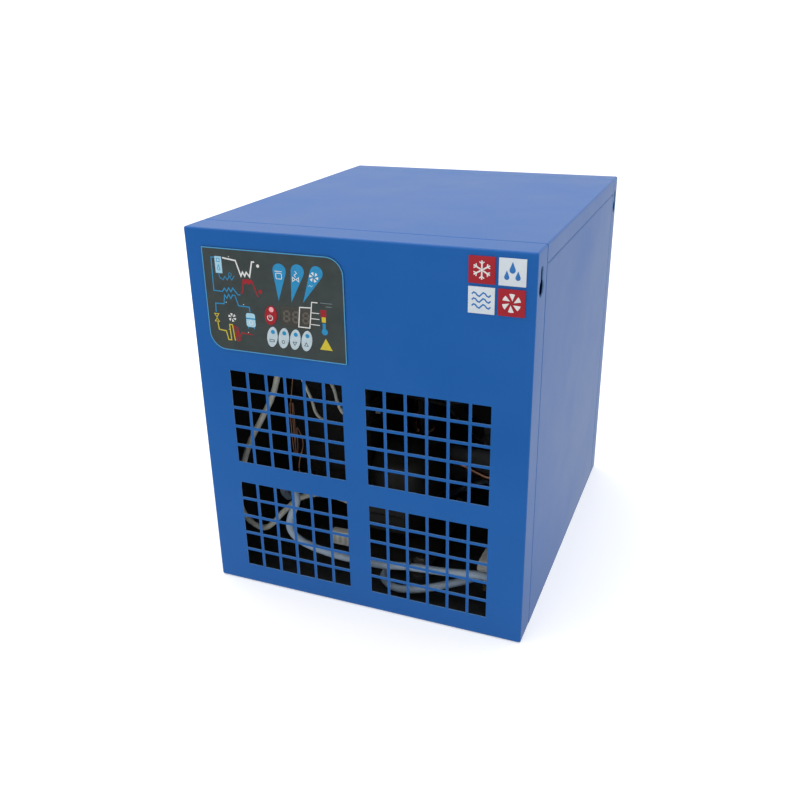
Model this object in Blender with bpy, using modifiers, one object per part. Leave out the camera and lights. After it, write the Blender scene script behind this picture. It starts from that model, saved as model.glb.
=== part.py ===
"""Refrigerated compressed-air dryer in a punched sheet-metal cabinet.

Metres, +Z up. The cabinet stands on z = 0 with its footprint centred on the origin. Its front,
with the control panel and the air grilles, faces -Y, and its pipe ports leave the rear along +Y.
"""
import math

import bmesh
import bpy
from mathutils import Matrix, Vector

# ---------------------------------------------------------------- driving dimensions
# Cabinet
WIDTH = 0.370
DEPTH = 0.438
HEIGHT = 0.423
SHEET = 0.0012            # painted steel sheet
BEND = 0.0022             # outer radius of every bend
SEAM = 0.0008             # visible joint between two panels
GAP = 0.0003              # clearance between parts that touch on the real dryer
FRONT_FLANGE = 0.035      # how far the front panel wraps round the top and sides
REAR_FLANGE = 0.026
COVER_FLANGE = 0.018      # how far the top cover comes down the sides
RETURN = 0.012            # inward stiffening folds of the side panels
FOOT_RETURN = 0.010       # fold under the lower edge of the front panel

# Base tray
TRAY_SHEET = 0.0015
TRAY_WALL = 0.030
TRAY_FRONT_WALL = 0.014   # lower there, below the air grille
TRAY_CLEAR = 0.0005

# Punched grilles
HOLE = 0.0197
BAR = 0.0030
FRONT_COLUMNS = 13
FRONT_ROWS = 11
FRONT_GRILLE_MARGIN = 0.0236   # lowest row of holes above the floor
REAR_COLUMNS = 8
REAR_ROWS = 8

# Keyhole slots in the side flanges of the front and rear panels
KEYHOLE_DROP = 0.0363     # cabinet top to the middle of the round hole
KEYHOLE_RISE = 0.0164     # round hole to the end of the slot, middle to middle
KEYHOLE_HOLE = 0.0085     # radius of the round hole
KEYHOLE_SLOT = 0.0045     # half width of the slot
KEYHOLE_FRONT_INSET = 0.0165
KEYHOLE_REAR_INSET = 0.0130

# Control overlay on the front panel
OVERLAY_MARGIN = 0.020    # cabinet's left side to the overlay
OVERLAY_WIDTH = 0.160
OVERLAY_HEIGHT = 0.110
OVERLAY_DROP = 0.019      # cabinet top to the overlay's upper edge
OVERLAY_CORNER = 0.019
OVERLAY_THICK = 0.0008
KEY_FIT = 0.0002          # play round each key
KEY_PROUD = 0.0005        # how far a key stands out of the overlay
KEY_TRAVEL = 0.0005
KEY_TILT = math.radians(11.0)
KEY_HALF_WIDTH = 0.0060
KEY_HALF_HEIGHT = 0.0112
KEY_PITCH = 0.01327
KEY_FIRST_X = 0.0761      # overlay's left edge to the first key
KEY_ROW_Z = 0.0207        # overlay's lower edge to the row of keys
POWER_HALF_WIDTH = 0.0070
POWER_HALF_HEIGHT = 0.0104
POWER_Z = 0.0438
LENS_LEFT = 0.0870
LENS_WIDTH = 0.0375
LENS_LOW = 0.0337
LENS_HEIGHT = 0.0220
LENS_FIT = 0.00015
WINDOW_MARGIN = 0.0020    # cut-out in the front sheet round the keys and the lens

# Control housing and board
HOUSING_MARGIN = 0.004    # overlay edge to housing
HOUSING_DEPTH = 0.036
HOUSING_WALL = 0.002
BOARD_THICK = 0.0016
BOARD_SETBACK = 0.0065    # front sheet to board
BOARD_FIT = 0.0006

# Name badge
BADGE_SIZE = 0.054
BADGE_RIGHT = 0.0100      # from the cabinet's right side
BADGE_DROP = 0.0065
BADGE_THICK = 0.0010
BADGE_CORNER = 0.004

# Compressor
COMP_BESIDE = 0.059       # heat exchanger to the middle of the compressor
COMP_SETBACK = 0.151      # cabinet front to the middle of the compressor
COMP_HALF_WIDTH = 0.050
COMP_HALF_LENGTH = 0.063
COMP_HEIGHT = 0.121
COMP_SEAM = 0.066         # weld seam above the shell's lowest point
COMP_SEAM_LIP = 0.0025
COMP_SEAM_HALF = 0.0018
COMP_SQUARENESS = 2.9     # superellipse exponent of the shell's outline
PLATE_THICK = 0.0030
PLATE_HALF_X = 0.053
PLATE_HALF_Y = 0.086
BOLT_X = 0.040
BOLT_Y = 0.073
GROMMET_FOOT = 0.0150     # height of rubber under the plate
GROMMET_RADIUS = 0.0120
GROMMET_NECK = 0.0062
GROMMET_CAP = 0.0090
GROMMET_CAP_HEIGHT = 0.0040
GROMMET_BORE = 0.0035
TERMINAL_WIDTH = 0.046
TERMINAL_HEIGHT = 0.040
TERMINAL_DEPTH = 0.017
TERMINAL_Z = 0.058

# Condenser, its shroud and its fan
CORE_WIDTH = 0.190
CORE_HEIGHT = 0.200
CORE_DEPTH = 0.040
CORE_MARGIN = 0.029       # cabinet's right side to the core
CORE_LOW = 0.046
CORE_SETBACK = 0.028      # outside of the rear panel to the core
CORE_PASSES = 8           # tube rows up the core
HAIRPIN_TUBE = 0.0040
SHROUD_DEPTH = 0.030
SHROUD_SHEET = 0.0010
COLLAR_DEPTH = 0.012
FAN_RADIUS = 0.083
FAN_TIP_CLEAR = 0.0035
HUB_RADIUS = 0.024
HUB_LENGTH = 0.020
BLADES = 5
BLADE_THICK = 0.0018
BLADE_TWIST = math.radians(32.0)
BRACKET_WIDTH = 0.030
BRACKET_SHEET = 0.0020
MOTOR_RADIUS = 0.037
MOTOR_LENGTH = 0.048
MOTOR_BOSS = 0.0100
BOSS_CLEAR = 0.0010
FAN_SETOUT = 0.0030       # play in front of and behind the rotor

# Heat exchanger and its stand
BLOCK_MARGIN = 0.015      # cabinet's left side to the exchanger
BLOCK_WIDTH = 0.114
BLOCK_SETBACK = 0.159     # cabinet front to the exchanger
BLOCK_DEPTH = 0.160
BLOCK_LOW = 0.0415
BLOCK_HEIGHT = 0.284
BLOCK_ROUND = 0.009
STAND_SHEET = 0.0020
STAND_INSET = 0.008

# Compressed-air ports and pipes
PORT_Z = 0.372
INLET_MARGIN = 0.043      # cabinet's left side to the inlet port
PORT_SPACING = 0.060
PORT_BORE = 0.0093
PORT_BORE_DEPTH = 0.022
PORT_FLATS = 0.030
PORT_PROJECTION = 0.012
PORT_BARREL = 0.0130
PORT_INSIDE = 0.024
PANEL_FIT = 0.0006        # radial play of a fitting in its panel hole
PIPE_RADIUS = 0.0110
PIPE_ENTRY_Y = 0.048      # where the pipes turn down into the exchanger

# Drain and cable fittings
DRAIN_MARGIN = 0.067      # cabinet's right side to the drain port
DRAIN_Z = 0.0165
DRAIN_BORE = 0.0040
DRAIN_BARREL = 0.0062
DRAIN_BARB = 0.0072
DRAIN_PROJECTION = 0.020
DRAIN_INSIDE = 0.016
GLAND_MARGIN = 0.037      # cabinet's left side to the gland
GLAND_Z = 0.075
GLAND_BORE = 0.0045
GLAND_BARREL = 0.0092
GLAND_NUT = 0.0120
GLAND_PROJECTION = 0.024
GLAND_INSIDE = 0.014

# Condensate valves
VALVE_INSET = 0.025       # exchanger's left side to the ball valve
VALVE_Z = 0.060
VALVE_LENGTH = 0.044
VALVE_RADIUS = 0.0105
LEVER_REACH = 0.040
LEVER_WIDTH = 0.010
LEVER_THICK = 0.0022
LEVER_POST = 0.0050
SOLENOID_MARGIN = 0.046   # cabinet's right side to the solenoid valve
SOLENOID_SETBACK = 0.059
SOLENOID_Z = 0.032
SOLENOID_SIDE = 0.022
COIL_SIDE = 0.034
COIL_HEIGHT = 0.020
HOSE_RADIUS = 0.0045
TIE_X = 0.047
TIE_BAND = 0.0036
TIE_THICK = 0.0010
TIE_SLACK = 0.0009
CONNECTOR_SIZE = (0.026, 0.012, 0.018)
CONNECTOR_PLACE = (-0.050, -0.160, 0.047)

# Refrigerant fittings
DRIER_BESIDE = 0.022      # inside the exchanger's right side
DRIER_SETBACK = 0.061     # outside of the rear panel to the drier
DRIER_LOW = 0.060
DRIER_LENGTH = 0.088
DRIER_RADIUS = 0.0100
HOT_VALVE_BESIDE = 0.042  # exchanger to the middle of the valve
HOT_VALVE_BEHIND = 0.096  # middle of the compressor to the middle of the valve
HOT_VALVE_LOW = 0.255
HOT_VALVE_LENGTH = 0.060
HOT_VALVE_RADIUS = 0.0125
CAPILLARY_RADIUS = 0.0010
CAPILLARY_LOOPS = 2

# Fasteners and the rail that takes the upper ones
SCREW_MARGIN = 0.025      # cabinet's side to the screws
SCREW_LOW_Z = 0.0210
SCREW_HEAD = 0.0048
SCREW_HEAD_HEIGHT = 0.0034
SCREW_SHANK = 0.0024
SCREW_LENGTH = 0.008
SCREW_FIT = 0.0004
RAIL_SIDE = 0.015
RAIL_MARGIN = 0.013
RAIL_DROP = 0.0070        # under the top sheet

# ---------------------------------------------------------------- places worked out from them
HALF_W = WIDTH / 2
FRONT_Y = -DEPTH / 2
REAR_Y = DEPTH / 2
MIDDLE_FRONT = FRONT_Y + FRONT_FLANGE + SEAM    # where the cover and side panels start
MIDDLE_REAR = REAR_Y - REAR_FLANGE - SEAM
PITCH = HOLE + BAR
FRONT_GRILLE_Z = FRONT_GRILLE_MARGIN + ((FRONT_ROWS - 1) * PITCH + HOLE) / 2
OVERLAY_TOP = HEIGHT - OVERLAY_DROP
OVERLAY_LOW = OVERLAY_TOP - OVERLAY_HEIGHT
OVERLAY_LEFT = -HALF_W + OVERLAY_MARGIN
OVERLAY_RIGHT = OVERLAY_LEFT + OVERLAY_WIDTH
OVERLAY_BACK = FRONT_Y - GAP
CORE_RIGHT = HALF_W - CORE_MARGIN
CORE_LEFT = CORE_RIGHT - CORE_WIDTH
CORE_TOP = CORE_LOW + CORE_HEIGHT
CORE_REAR = REAR_Y - CORE_SETBACK
CORE_FRONT = CORE_REAR - CORE_DEPTH
FAN_X = CORE_LEFT + CORE_WIDTH / 2
FAN_Z = CORE_LOW + CORE_HEIGHT / 2
SHROUD_FRONT = CORE_FRONT - GAP - SHROUD_DEPTH
ROTOR_REAR = SHROUD_FRONT + HUB_LENGTH / 2
ROTOR_FRONT = ROTOR_REAR - HUB_LENGTH
BRACKET_REAR = ROTOR_FRONT - FAN_SETOUT
BRACKET_FRONT = BRACKET_REAR - BRACKET_SHEET
PLATE_LOW = TRAY_SHEET + GAP + GROMMET_FOOT
SHELL_LOW = PLATE_LOW + PLATE_THICK + GAP
BLOCK_LEFT = -HALF_W + BLOCK_MARGIN
BLOCK_RIGHT = BLOCK_LEFT + BLOCK_WIDTH
BLOCK_FRONT = FRONT_Y + BLOCK_SETBACK
BLOCK_REAR = BLOCK_FRONT + BLOCK_DEPTH
BLOCK_TOP = BLOCK_LOW + BLOCK_HEIGHT
COMP_X = BLOCK_RIGHT + COMP_BESIDE
COMP_Y = FRONT_Y + COMP_SETBACK
PORT_END = REAR_Y - PORT_INSIDE
INLET_X = -HALF_W + INLET_MARGIN
OUTLET_X = INLET_X + PORT_SPACING
DRAIN_X = HALF_W - DRAIN_MARGIN
GLAND_X = -HALF_W + GLAND_MARGIN
VALVE_X = BLOCK_LEFT + VALVE_INSET
SOLENOID_X = HALF_W - SOLENOID_MARGIN
SOLENOID_Y = FRONT_Y + SOLENOID_SETBACK
DRIER_X = BLOCK_RIGHT - DRIER_BESIDE
DRIER_Y = REAR_Y - DRIER_SETBACK
HOT_VALVE_X = BLOCK_RIGHT + HOT_VALVE_BESIDE
HOT_VALVE_Y = COMP_Y + HOT_VALVE_BEHIND
SCREW_X = HALF_W - SCREW_MARGIN
RAIL_HALF_LENGTH = HALF_W - RAIL_MARGIN
TRAY_REAR = REAR_Y - SHEET - GAP
RAIL_TOP = HEIGHT - SHEET - RAIL_DROP
SCREW_HIGH_Z = RAIL_TOP - RAIL_SIDE / 2

MERGE = 0.00005           # modifiers weld closer than this
STUB = 0.0015             # straight run at each end of a tube or cable


# ---------------------------------------------------------------- scene and materials
def clear_scene():
    for obj in list(bpy.data.objects):
        bpy.data.objects.remove(obj, do_unlink=True)


def new_collection(name):
    collection = bpy.data.collections.new(name)
    bpy.context.scene.collection.children.link(collection)
    return collection


def make_material(name, colour, roughness, metallic=0.0):
    material = bpy.data.materials.new(name)
    material.use_nodes = True
    shader = material.node_tree.nodes["Principled BSDF"]
    shader.inputs["Base Color"].default_value = (*colour, 1.0)
    shader.inputs["Roughness"].default_value = roughness
    shader.inputs["Metallic"].default_value = metallic
    return material


def adopt(obj, material=None, collection=None):
    """Puts an object in its collection, with its material."""
    (collection or PARTS).objects.link(obj)
    if material:
        obj.data.materials.append(material)
    return obj


def hide_cutter(obj):
    obj.hide_render = True
    obj.display_type = "WIRE"
    return obj


# ---------------------------------------------------------------- shape helpers
def object_from_bmesh(name, shape, material=None, cutter=False):
    mesh = bpy.data.meshes.new(name)
    shape.to_mesh(mesh)
    shape.free()
    obj = bpy.data.objects.new(name, mesh)
    adopt(obj, material, CUTTERS if cutter else PARTS)
    return hide_cutter(obj) if cutter else obj


def shade_round(mesh, sharpest=40):
    """Smooth over curved sides, with crisp edges where they meet flat ends."""
    mesh.shade_smooth()
    mesh.set_sharp_from_angle(angle=math.radians(sharpest))


def box(name, low, high, material=None, cutter=False):
    """A block between two opposite corners, with its origin in the middle."""
    low, high = Vector(low), Vector(high)
    shape = bmesh.new()
    bmesh.ops.create_cube(shape, size=1.0)
    bmesh.ops.scale(shape, vec=high - low, verts=shape.verts)
    obj = object_from_bmesh(name, shape, material, cutter)
    obj.location = (low + high) / 2
    return obj


def boxes(name, corners):
    """One cutter made of many separate blocks, each a (low, high) pair."""
    shape = bmesh.new()
    for low, high in corners:
        low, high = Vector(low), Vector(high)
        size = high - low
        place = Matrix.Translation((low + high) / 2) @ Matrix.Diagonal((*size, 1.0))
        bmesh.ops.create_cube(shape, size=1.0, matrix=place)
    return object_from_bmesh(name, shape, cutter=True)


def cylinder(name, radius, low, high, axis="Y", sides=24, material=None, cutter=False, across=None):
    """A round bar, or a polygonal one, between two points along one axis.

    `across` gives the other two coordinates of its centre line, in X, Y, Z order.
    """
    shape = bmesh.new()
    bmesh.ops.create_cone(shape, cap_ends=True, segments=sides, radius1=radius, radius2=radius,
                          depth=high - low)
    turn = {"X": Matrix.Rotation(math.pi / 2, 4, "Y"), "Y": Matrix.Rotation(math.pi / 2, 4, "X"),
            "Z": Matrix.Identity(4)}[axis]
    bmesh.ops.transform(shape, matrix=turn, verts=shape.verts)
    obj = object_from_bmesh(name, shape, material, cutter)
    if sides > 6:
        shade_round(obj.data)
    middle = (low + high) / 2
    u, v = across
    obj.location = {"X": (middle, u, v), "Y": (u, middle, v), "Z": (u, v, middle)}[axis]
    return obj


def outline(name, loops, thickness, material=None, cutter=False):
    """A flat plate in the XZ plane, thickness along Y about its origin. Later loops are holes."""
    curve = bpy.data.curves.new(name, "CURVE")
    curve.dimensions = "2D"
    curve.fill_mode = "BOTH"
    curve.extrude = thickness / 2
    for loop in loops:
        spline = curve.splines.new("POLY")
        spline.points.add(len(loop) - 1)
        spline.use_cyclic_u = True
        for point, (x, z) in zip(spline.points, loop):
            point.co = (x, z, 0.0, 1.0)
    obj = bpy.data.objects.new(name, curve)
    adopt(obj, material, CUTTERS if cutter else PARTS)
    obj.rotation_euler = (math.pi / 2, 0, 0)
    return hide_cutter(obj) if cutter else obj


def as_mesh(obj):
    """The same object as a mesh with its caps welded, so that it can be cut or can cut."""
    bpy.context.view_layer.update()
    graph = bpy.context.evaluated_depsgraph_get()
    mesh = bpy.data.meshes.new_from_object(obj.evaluated_get(graph))
    shape = bmesh.new()
    shape.from_mesh(mesh)
    bmesh.ops.remove_doubles(shape, verts=shape.verts, dist=MERGE / 5)
    shape.to_mesh(mesh)
    shape.free()
    name, place, hidden = obj.name, obj.matrix_world.copy(), obj.hide_render
    home = obj.users_collection[0]
    bpy.data.objects.remove(obj)
    made = bpy.data.objects.new(name, mesh)
    home.objects.link(made)
    made.matrix_world = place
    return hide_cutter(made) if hidden else made


def turned(name, profile, material, place, axis="Z", steps=20, scale=(1, 1, 1)):
    """A turned solid: (radius, height) points from its top down its outer side to its foot."""
    mesh = bpy.data.meshes.new(name)
    points = [(radius, 0.0, height) for radius, height in profile]
    mesh.from_pydata(points, [(i, i + 1) for i in range(len(points) - 1)], [])
    obj = adopt(bpy.data.objects.new(name, mesh), material)
    screw = obj.modifiers.new("Screw", "SCREW")
    screw.axis = "Z"
    screw.steps = screw.render_steps = steps
    screw.use_merge_vertices = True
    screw.use_smooth_shade = True
    screw.merge_threshold = MERGE
    obj.location = place
    obj.scale = scale
    if axis == "Y":
        obj.rotation_euler = (-math.pi / 2, 0, 0)
    return obj


def ring_profile(profile, bore):
    """Closes a turned profile round a through bore, so that it is a ring in section."""
    top, foot = profile[0][1], profile[-1][1]
    return [(bore, top), *profile, (bore, foot), (bore, top)]


def smooth_path(points, spacing):
    """Points along a Catmull-Rom curve through the given ones, about one every `spacing`."""
    pts = [Vector(p) for p in points]
    pts = [2 * pts[0] - pts[1], *pts, 2 * pts[-1] - pts[-2]]
    found = []
    for a, b, c, d in zip(pts, pts[1:], pts[2:], pts[3:]):
        count = max(1, round((c - b).length / spacing))
        for i in range(count):
            t = i / count
            found.append(0.5 * (2 * b + (c - a) * t + (2 * a - 5 * b + 4 * c - d) * t * t
                                + (3 * b - a - 3 * c + d) * t ** 3))
    return [*found, pts[-2]]


def tube(name, points, radius, material, spacing=None, resolution=2):
    """A round tube or cable along a smooth path, straight for its last bit at each end."""
    path = smooth_path(points, spacing or 3 * radius)
    lead = (Vector(points[1]) - Vector(points[0])).normalized() * STUB
    tail = (Vector(points[-1]) - Vector(points[-2])).normalized() * STUB
    path = [path[0], path[0] + lead, *path[1:-1], path[-1] - tail, path[-1]]
    curve = bpy.data.curves.new(name, "CURVE")
    curve.dimensions = "3D"
    curve.bevel_depth = radius
    curve.bevel_resolution = resolution
    curve.use_fill_caps = True
    spline = curve.splines.new("POLY")
    spline.points.add(len(path) - 1)
    for point, place in zip(spline.points, path):
        point.co = (*place, 1.0)
    return adopt(bpy.data.objects.new(name, curve), material)


def cut(obj, *cutters):
    for cutter in cutters:
        modifier = obj.modifiers.new("Cut " + cutter.name, "BOOLEAN")
        modifier.operation = "DIFFERENCE"
        modifier.object = cutter


def join(obj, *others):
    for other in others:
        modifier = obj.modifiers.new("Join " + other.name, "BOOLEAN")
        modifier.operation = "UNION"
        modifier.object = other


def arc(centre, radius, start, end, count):
    """Points on an arc in the XZ plane, both ends included; angles in degrees."""
    angles = [math.radians(start + (end - start) * i / count) for i in range(count + 1)]
    return [(centre[0] + radius * math.cos(a), centre[1] + radius * math.sin(a)) for a in angles]


def rounded_rectangle(left, low, right, top, radii, steps=4):
    """Corner radii run anticlockwise from the lower left; a radius of 0 leaves a sharp corner."""
    corners = [(left, low, 180), (right, low, 270), (right, top, 0), (left, top, 90)]
    inward = [(1, 1), (-1, 1), (-1, -1), (1, -1)]
    points = []
    for (x, z, start), (sx, sz), radius in zip(corners, inward, radii):
        if radius:
            points += arc((x + sx * radius, z + sz * radius), radius, start, start + 90, steps)
        else:
            points.append((x, z))
    return points


def ellipse(centre, half_width, half_height, tilt, count=24):
    """An upright ellipse whose top leans towards +X by `tilt`."""
    points = []
    for i in range(count):
        a = 2 * math.pi * i / count
        u, v = half_width * math.cos(a), half_height * math.sin(a)
        points.append((centre[0] + u * math.cos(tilt) + v * math.sin(tilt),
                       centre[1] - u * math.sin(tilt) + v * math.cos(tilt)))
    return points


def folded_pan(name, low, high, open_sides, sheet, material, radius=BEND, segments=2):
    """A folded sheet box without the named sides, such as "+Y": outside bends, sheet inwards."""
    low, high = Vector(low), Vector(high)
    middle = (low + high) / 2
    shape = bmesh.new()
    bmesh.ops.create_cube(shape, size=1.0)
    bmesh.ops.scale(shape, vec=high - low, verts=shape.verts)
    shape.normal_update()
    wanted = {"XYZ".index(side[1]) * 2 + (side[0] == "+") for side in open_sides}
    gone = []
    for face in shape.faces:
        axis = max(range(3), key=lambda k: abs(face.normal[k]))
        if axis * 2 + (face.normal[axis] > 0) in wanted:
            gone.append(face)
    bmesh.ops.delete(shape, geom=gone, context="FACES")
    folds = [edge for edge in shape.edges if len(edge.link_faces) == 2]
    bmesh.ops.bevel(shape, geom=folds, offset=radius, offset_type="OFFSET", segments=segments,
                    profile=0.5, affect="EDGES", material=-1)
    obj = object_from_bmesh(name, shape, material)
    obj.location = middle
    wall = obj.modifiers.new("Sheet", "SOLIDIFY")
    wall.thickness = sheet
    wall.offset = -1
    wall.use_even_offset = True
    return obj


# ---------------------------------------------------------------- cutters shared by panels
def grille_cutter(name, centre_x, centre_z, columns, rows, wall_y, blank=()):
    """Square punches on a regular pitch; `blank` names (column, row) middles left unpunched."""
    blank_column, blank_row = blank or (None, None)
    reach = 4 * SHEET
    corners = []
    for column in range(columns):
        for row in range(rows):
            if column == blank_column or row == blank_row:
                continue
            x = centre_x + (column - (columns - 1) / 2) * PITCH
            z = centre_z + (row - (rows - 1) / 2) * PITCH
            corners.append(((x - HOLE / 2, wall_y - reach, z - HOLE / 2),
                            (x + HOLE / 2, wall_y + reach, z + HOLE / 2)))
    return boxes(name, corners)


def keyhole_cutter(name, x, y):
    """A round hole with a slot rising from it, cut through a side flange."""
    z = HEIGHT - KEYHOLE_DROP
    spread = math.degrees(math.acos(KEYHOLE_SLOT / KEYHOLE_HOLE))
    loop = arc((0, 0), KEYHOLE_HOLE, 180 - spread, 360 + spread, 14)
    loop += arc((0, KEYHOLE_RISE), KEYHOLE_SLOT, 0, 180, 6)
    plate = as_mesh(outline(name, [loop], 8 * SHEET, cutter=True))
    plate.matrix_world = Matrix.Translation((x, y, z)) @ Matrix.Rotation(math.pi / 2, 4, "Z") \
        @ Matrix.Rotation(math.pi / 2, 4, "X")
    return plate


def screw_places():
    return [(side * SCREW_X, z) for z in (SCREW_LOW_Z, SCREW_HIGH_Z) for side in (-1, 1)]


# ---------------------------------------------------------------- cabinet
def build_base_tray():
    side = HALF_W - SHEET - TRAY_CLEAR
    front = FRONT_Y + FOOT_RETURN + SEAM
    tray = folded_pan("base_tray", (-side, front, 0), (side, TRAY_REAR, TRAY_WALL), ["+Z"],
                      TRAY_SHEET, GALVANISED)
    low_front = box("tray_front_relief", (-HALF_W, front - 0.01, TRAY_FRONT_WALL),
                    (HALF_W, front + TRAY_SHEET + 0.004, TRAY_WALL + 0.01), cutter=True)
    cut(tray, low_front, DRAIN_CUTTER, *SCREW_CUTTERS[:2])


def build_front_panel():
    panel = folded_pan("front_panel", (-HALF_W, FRONT_Y, 0),
                       (HALF_W, FRONT_Y + FRONT_FLANGE, HEIGHT), ["+Y"], SHEET, BLUE_PAINT)
    relief = box("front_foot_relief",
                 (-HALF_W + SHEET + GAP, FRONT_Y + FOOT_RETURN, -0.01),
                 (HALF_W - SHEET - GAP, FRONT_Y + FRONT_FLANGE + 0.01, SHEET + BEND), cutter=True)
    punches = grille_cutter("front_punches", 0, FRONT_GRILLE_Z, FRONT_COLUMNS, FRONT_ROWS, FRONT_Y,
                            (FRONT_COLUMNS // 2, FRONT_ROWS // 2))
    left = OVERLAY_LEFT + KEY_FIRST_X - KEY_HALF_WIDTH - WINDOW_MARGIN - 0.002
    right = OVERLAY_LEFT + LENS_LEFT + LENS_WIDTH + WINDOW_MARGIN
    low = OVERLAY_LOW + KEY_ROW_Z - KEY_HALF_HEIGHT - WINDOW_MARGIN
    top = OVERLAY_LOW + LENS_LOW + LENS_HEIGHT + WINDOW_MARGIN
    window = box("control_window", (left, FRONT_Y - 0.005, low), (right, FRONT_Y + 0.005, top),
                 cutter=True)
    slots = [keyhole_cutter("front_keyhole_" + word, side * HALF_W, FRONT_Y + KEYHOLE_FRONT_INSET)
             for word, side in (("left", -1), ("right", 1))]
    cut(panel, relief, punches, window, *slots)


def build_rear_panel():
    panel = folded_pan("rear_panel", (-HALF_W, REAR_Y - REAR_FLANGE, 0), (HALF_W, REAR_Y, HEIGHT),
                       ["-Y", "-Z"], SHEET, BLUE_PAINT)
    punches = grille_cutter("rear_punches", FAN_X, FAN_Z, REAR_COLUMNS, REAR_ROWS, REAR_Y)
    slots = [keyhole_cutter("rear_keyhole_" + word, side * HALF_W, REAR_Y - KEYHOLE_REAR_INSET)
             for word, side in (("left", -1), ("right", 1))]
    ports = [cylinder("port_hole_" + word, PORT_BARREL + PANEL_FIT, REAR_Y - 0.01, REAR_Y + 0.01,
                      across=(x, PORT_Z), cutter=True)
             for word, x in (("in", INLET_X), ("out", OUTLET_X))]
    gland = cylinder("gland_hole", GLAND_BARREL + PANEL_FIT, REAR_Y - 0.01, REAR_Y + 0.01,
                     across=(GLAND_X, GLAND_Z), cutter=True)
    cut(panel, punches, *slots, *ports, gland, DRAIN_CUTTER, *SCREW_CUTTERS)


def build_top_cover():
    folded_pan("top_cover", (-HALF_W, MIDDLE_FRONT, HEIGHT - COVER_FLANGE),
               (HALF_W, MIDDLE_REAR, HEIGHT), ["-Z"], SHEET, BLUE_PAINT)


def build_side_panels():
    """Each is folded in along its front, rear and upper edges; the tray wall stands inside it."""
    top = HEIGHT - COVER_FLANGE - SEAM
    for name, side, open_side in (("left_side_panel", -1, "+X"), ("right_side_panel", 1, "-X")):
        inner, outer = side * (HALF_W - RETURN), side * HALF_W
        panel = folded_pan(name, (min(inner, outer), MIDDLE_FRONT, 0),
                           (max(inner, outer), MIDDLE_REAR, top), [open_side, "-Z"], SHEET,
                           BLUE_PAINT)
        room = side * (HALF_W - SHEET - GAP / 2)
        relief = box(name + "_relief",
                     (min(side * (HALF_W - 0.03), room), MIDDLE_FRONT - 0.005, -0.01),
                     (max(side * (HALF_W - 0.03), room), MIDDLE_REAR + 0.005, TRAY_WALL + GAP),
                     cutter=True)
        cut(panel, relief)


def build_rear_rail():
    """Angle under the top sheet that takes the upper screws of the rear panel."""
    rail = folded_pan("rear_top_rail", (-RAIL_HALF_LENGTH, TRAY_REAR - RAIL_SIDE, RAIL_TOP - RAIL_SIDE),
                      (RAIL_HALF_LENGTH, TRAY_REAR, RAIL_TOP), ["-Y", "-Z", "-X", "+X"],
                      TRAY_SHEET, GALVANISED)
    cut(rail, *SCREW_CUTTERS[2:])


def build_screws():
    for number, (x, z) in enumerate(screw_places(), 1):
        seat = REAR_Y + GAP
        profile = [(0, SCREW_HEAD_HEIGHT), (SCREW_HEAD * 0.7, SCREW_HEAD_HEIGHT),
                   (SCREW_HEAD, SCREW_HEAD_HEIGHT * 0.45), (SCREW_HEAD, 0), (SCREW_SHANK, 0),
                   (SCREW_SHANK, -SCREW_LENGTH), (0, -SCREW_LENGTH)]
        turned("rear_panel_screw_%d" % number, profile, STEEL, (x, seat, z), axis="Y", steps=10)


# ---------------------------------------------------------------- control panel
def key_place(number):
    return (OVERLAY_LEFT + KEY_FIRST_X + number * KEY_PITCH, OVERLAY_LOW + KEY_ROW_Z)


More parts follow.
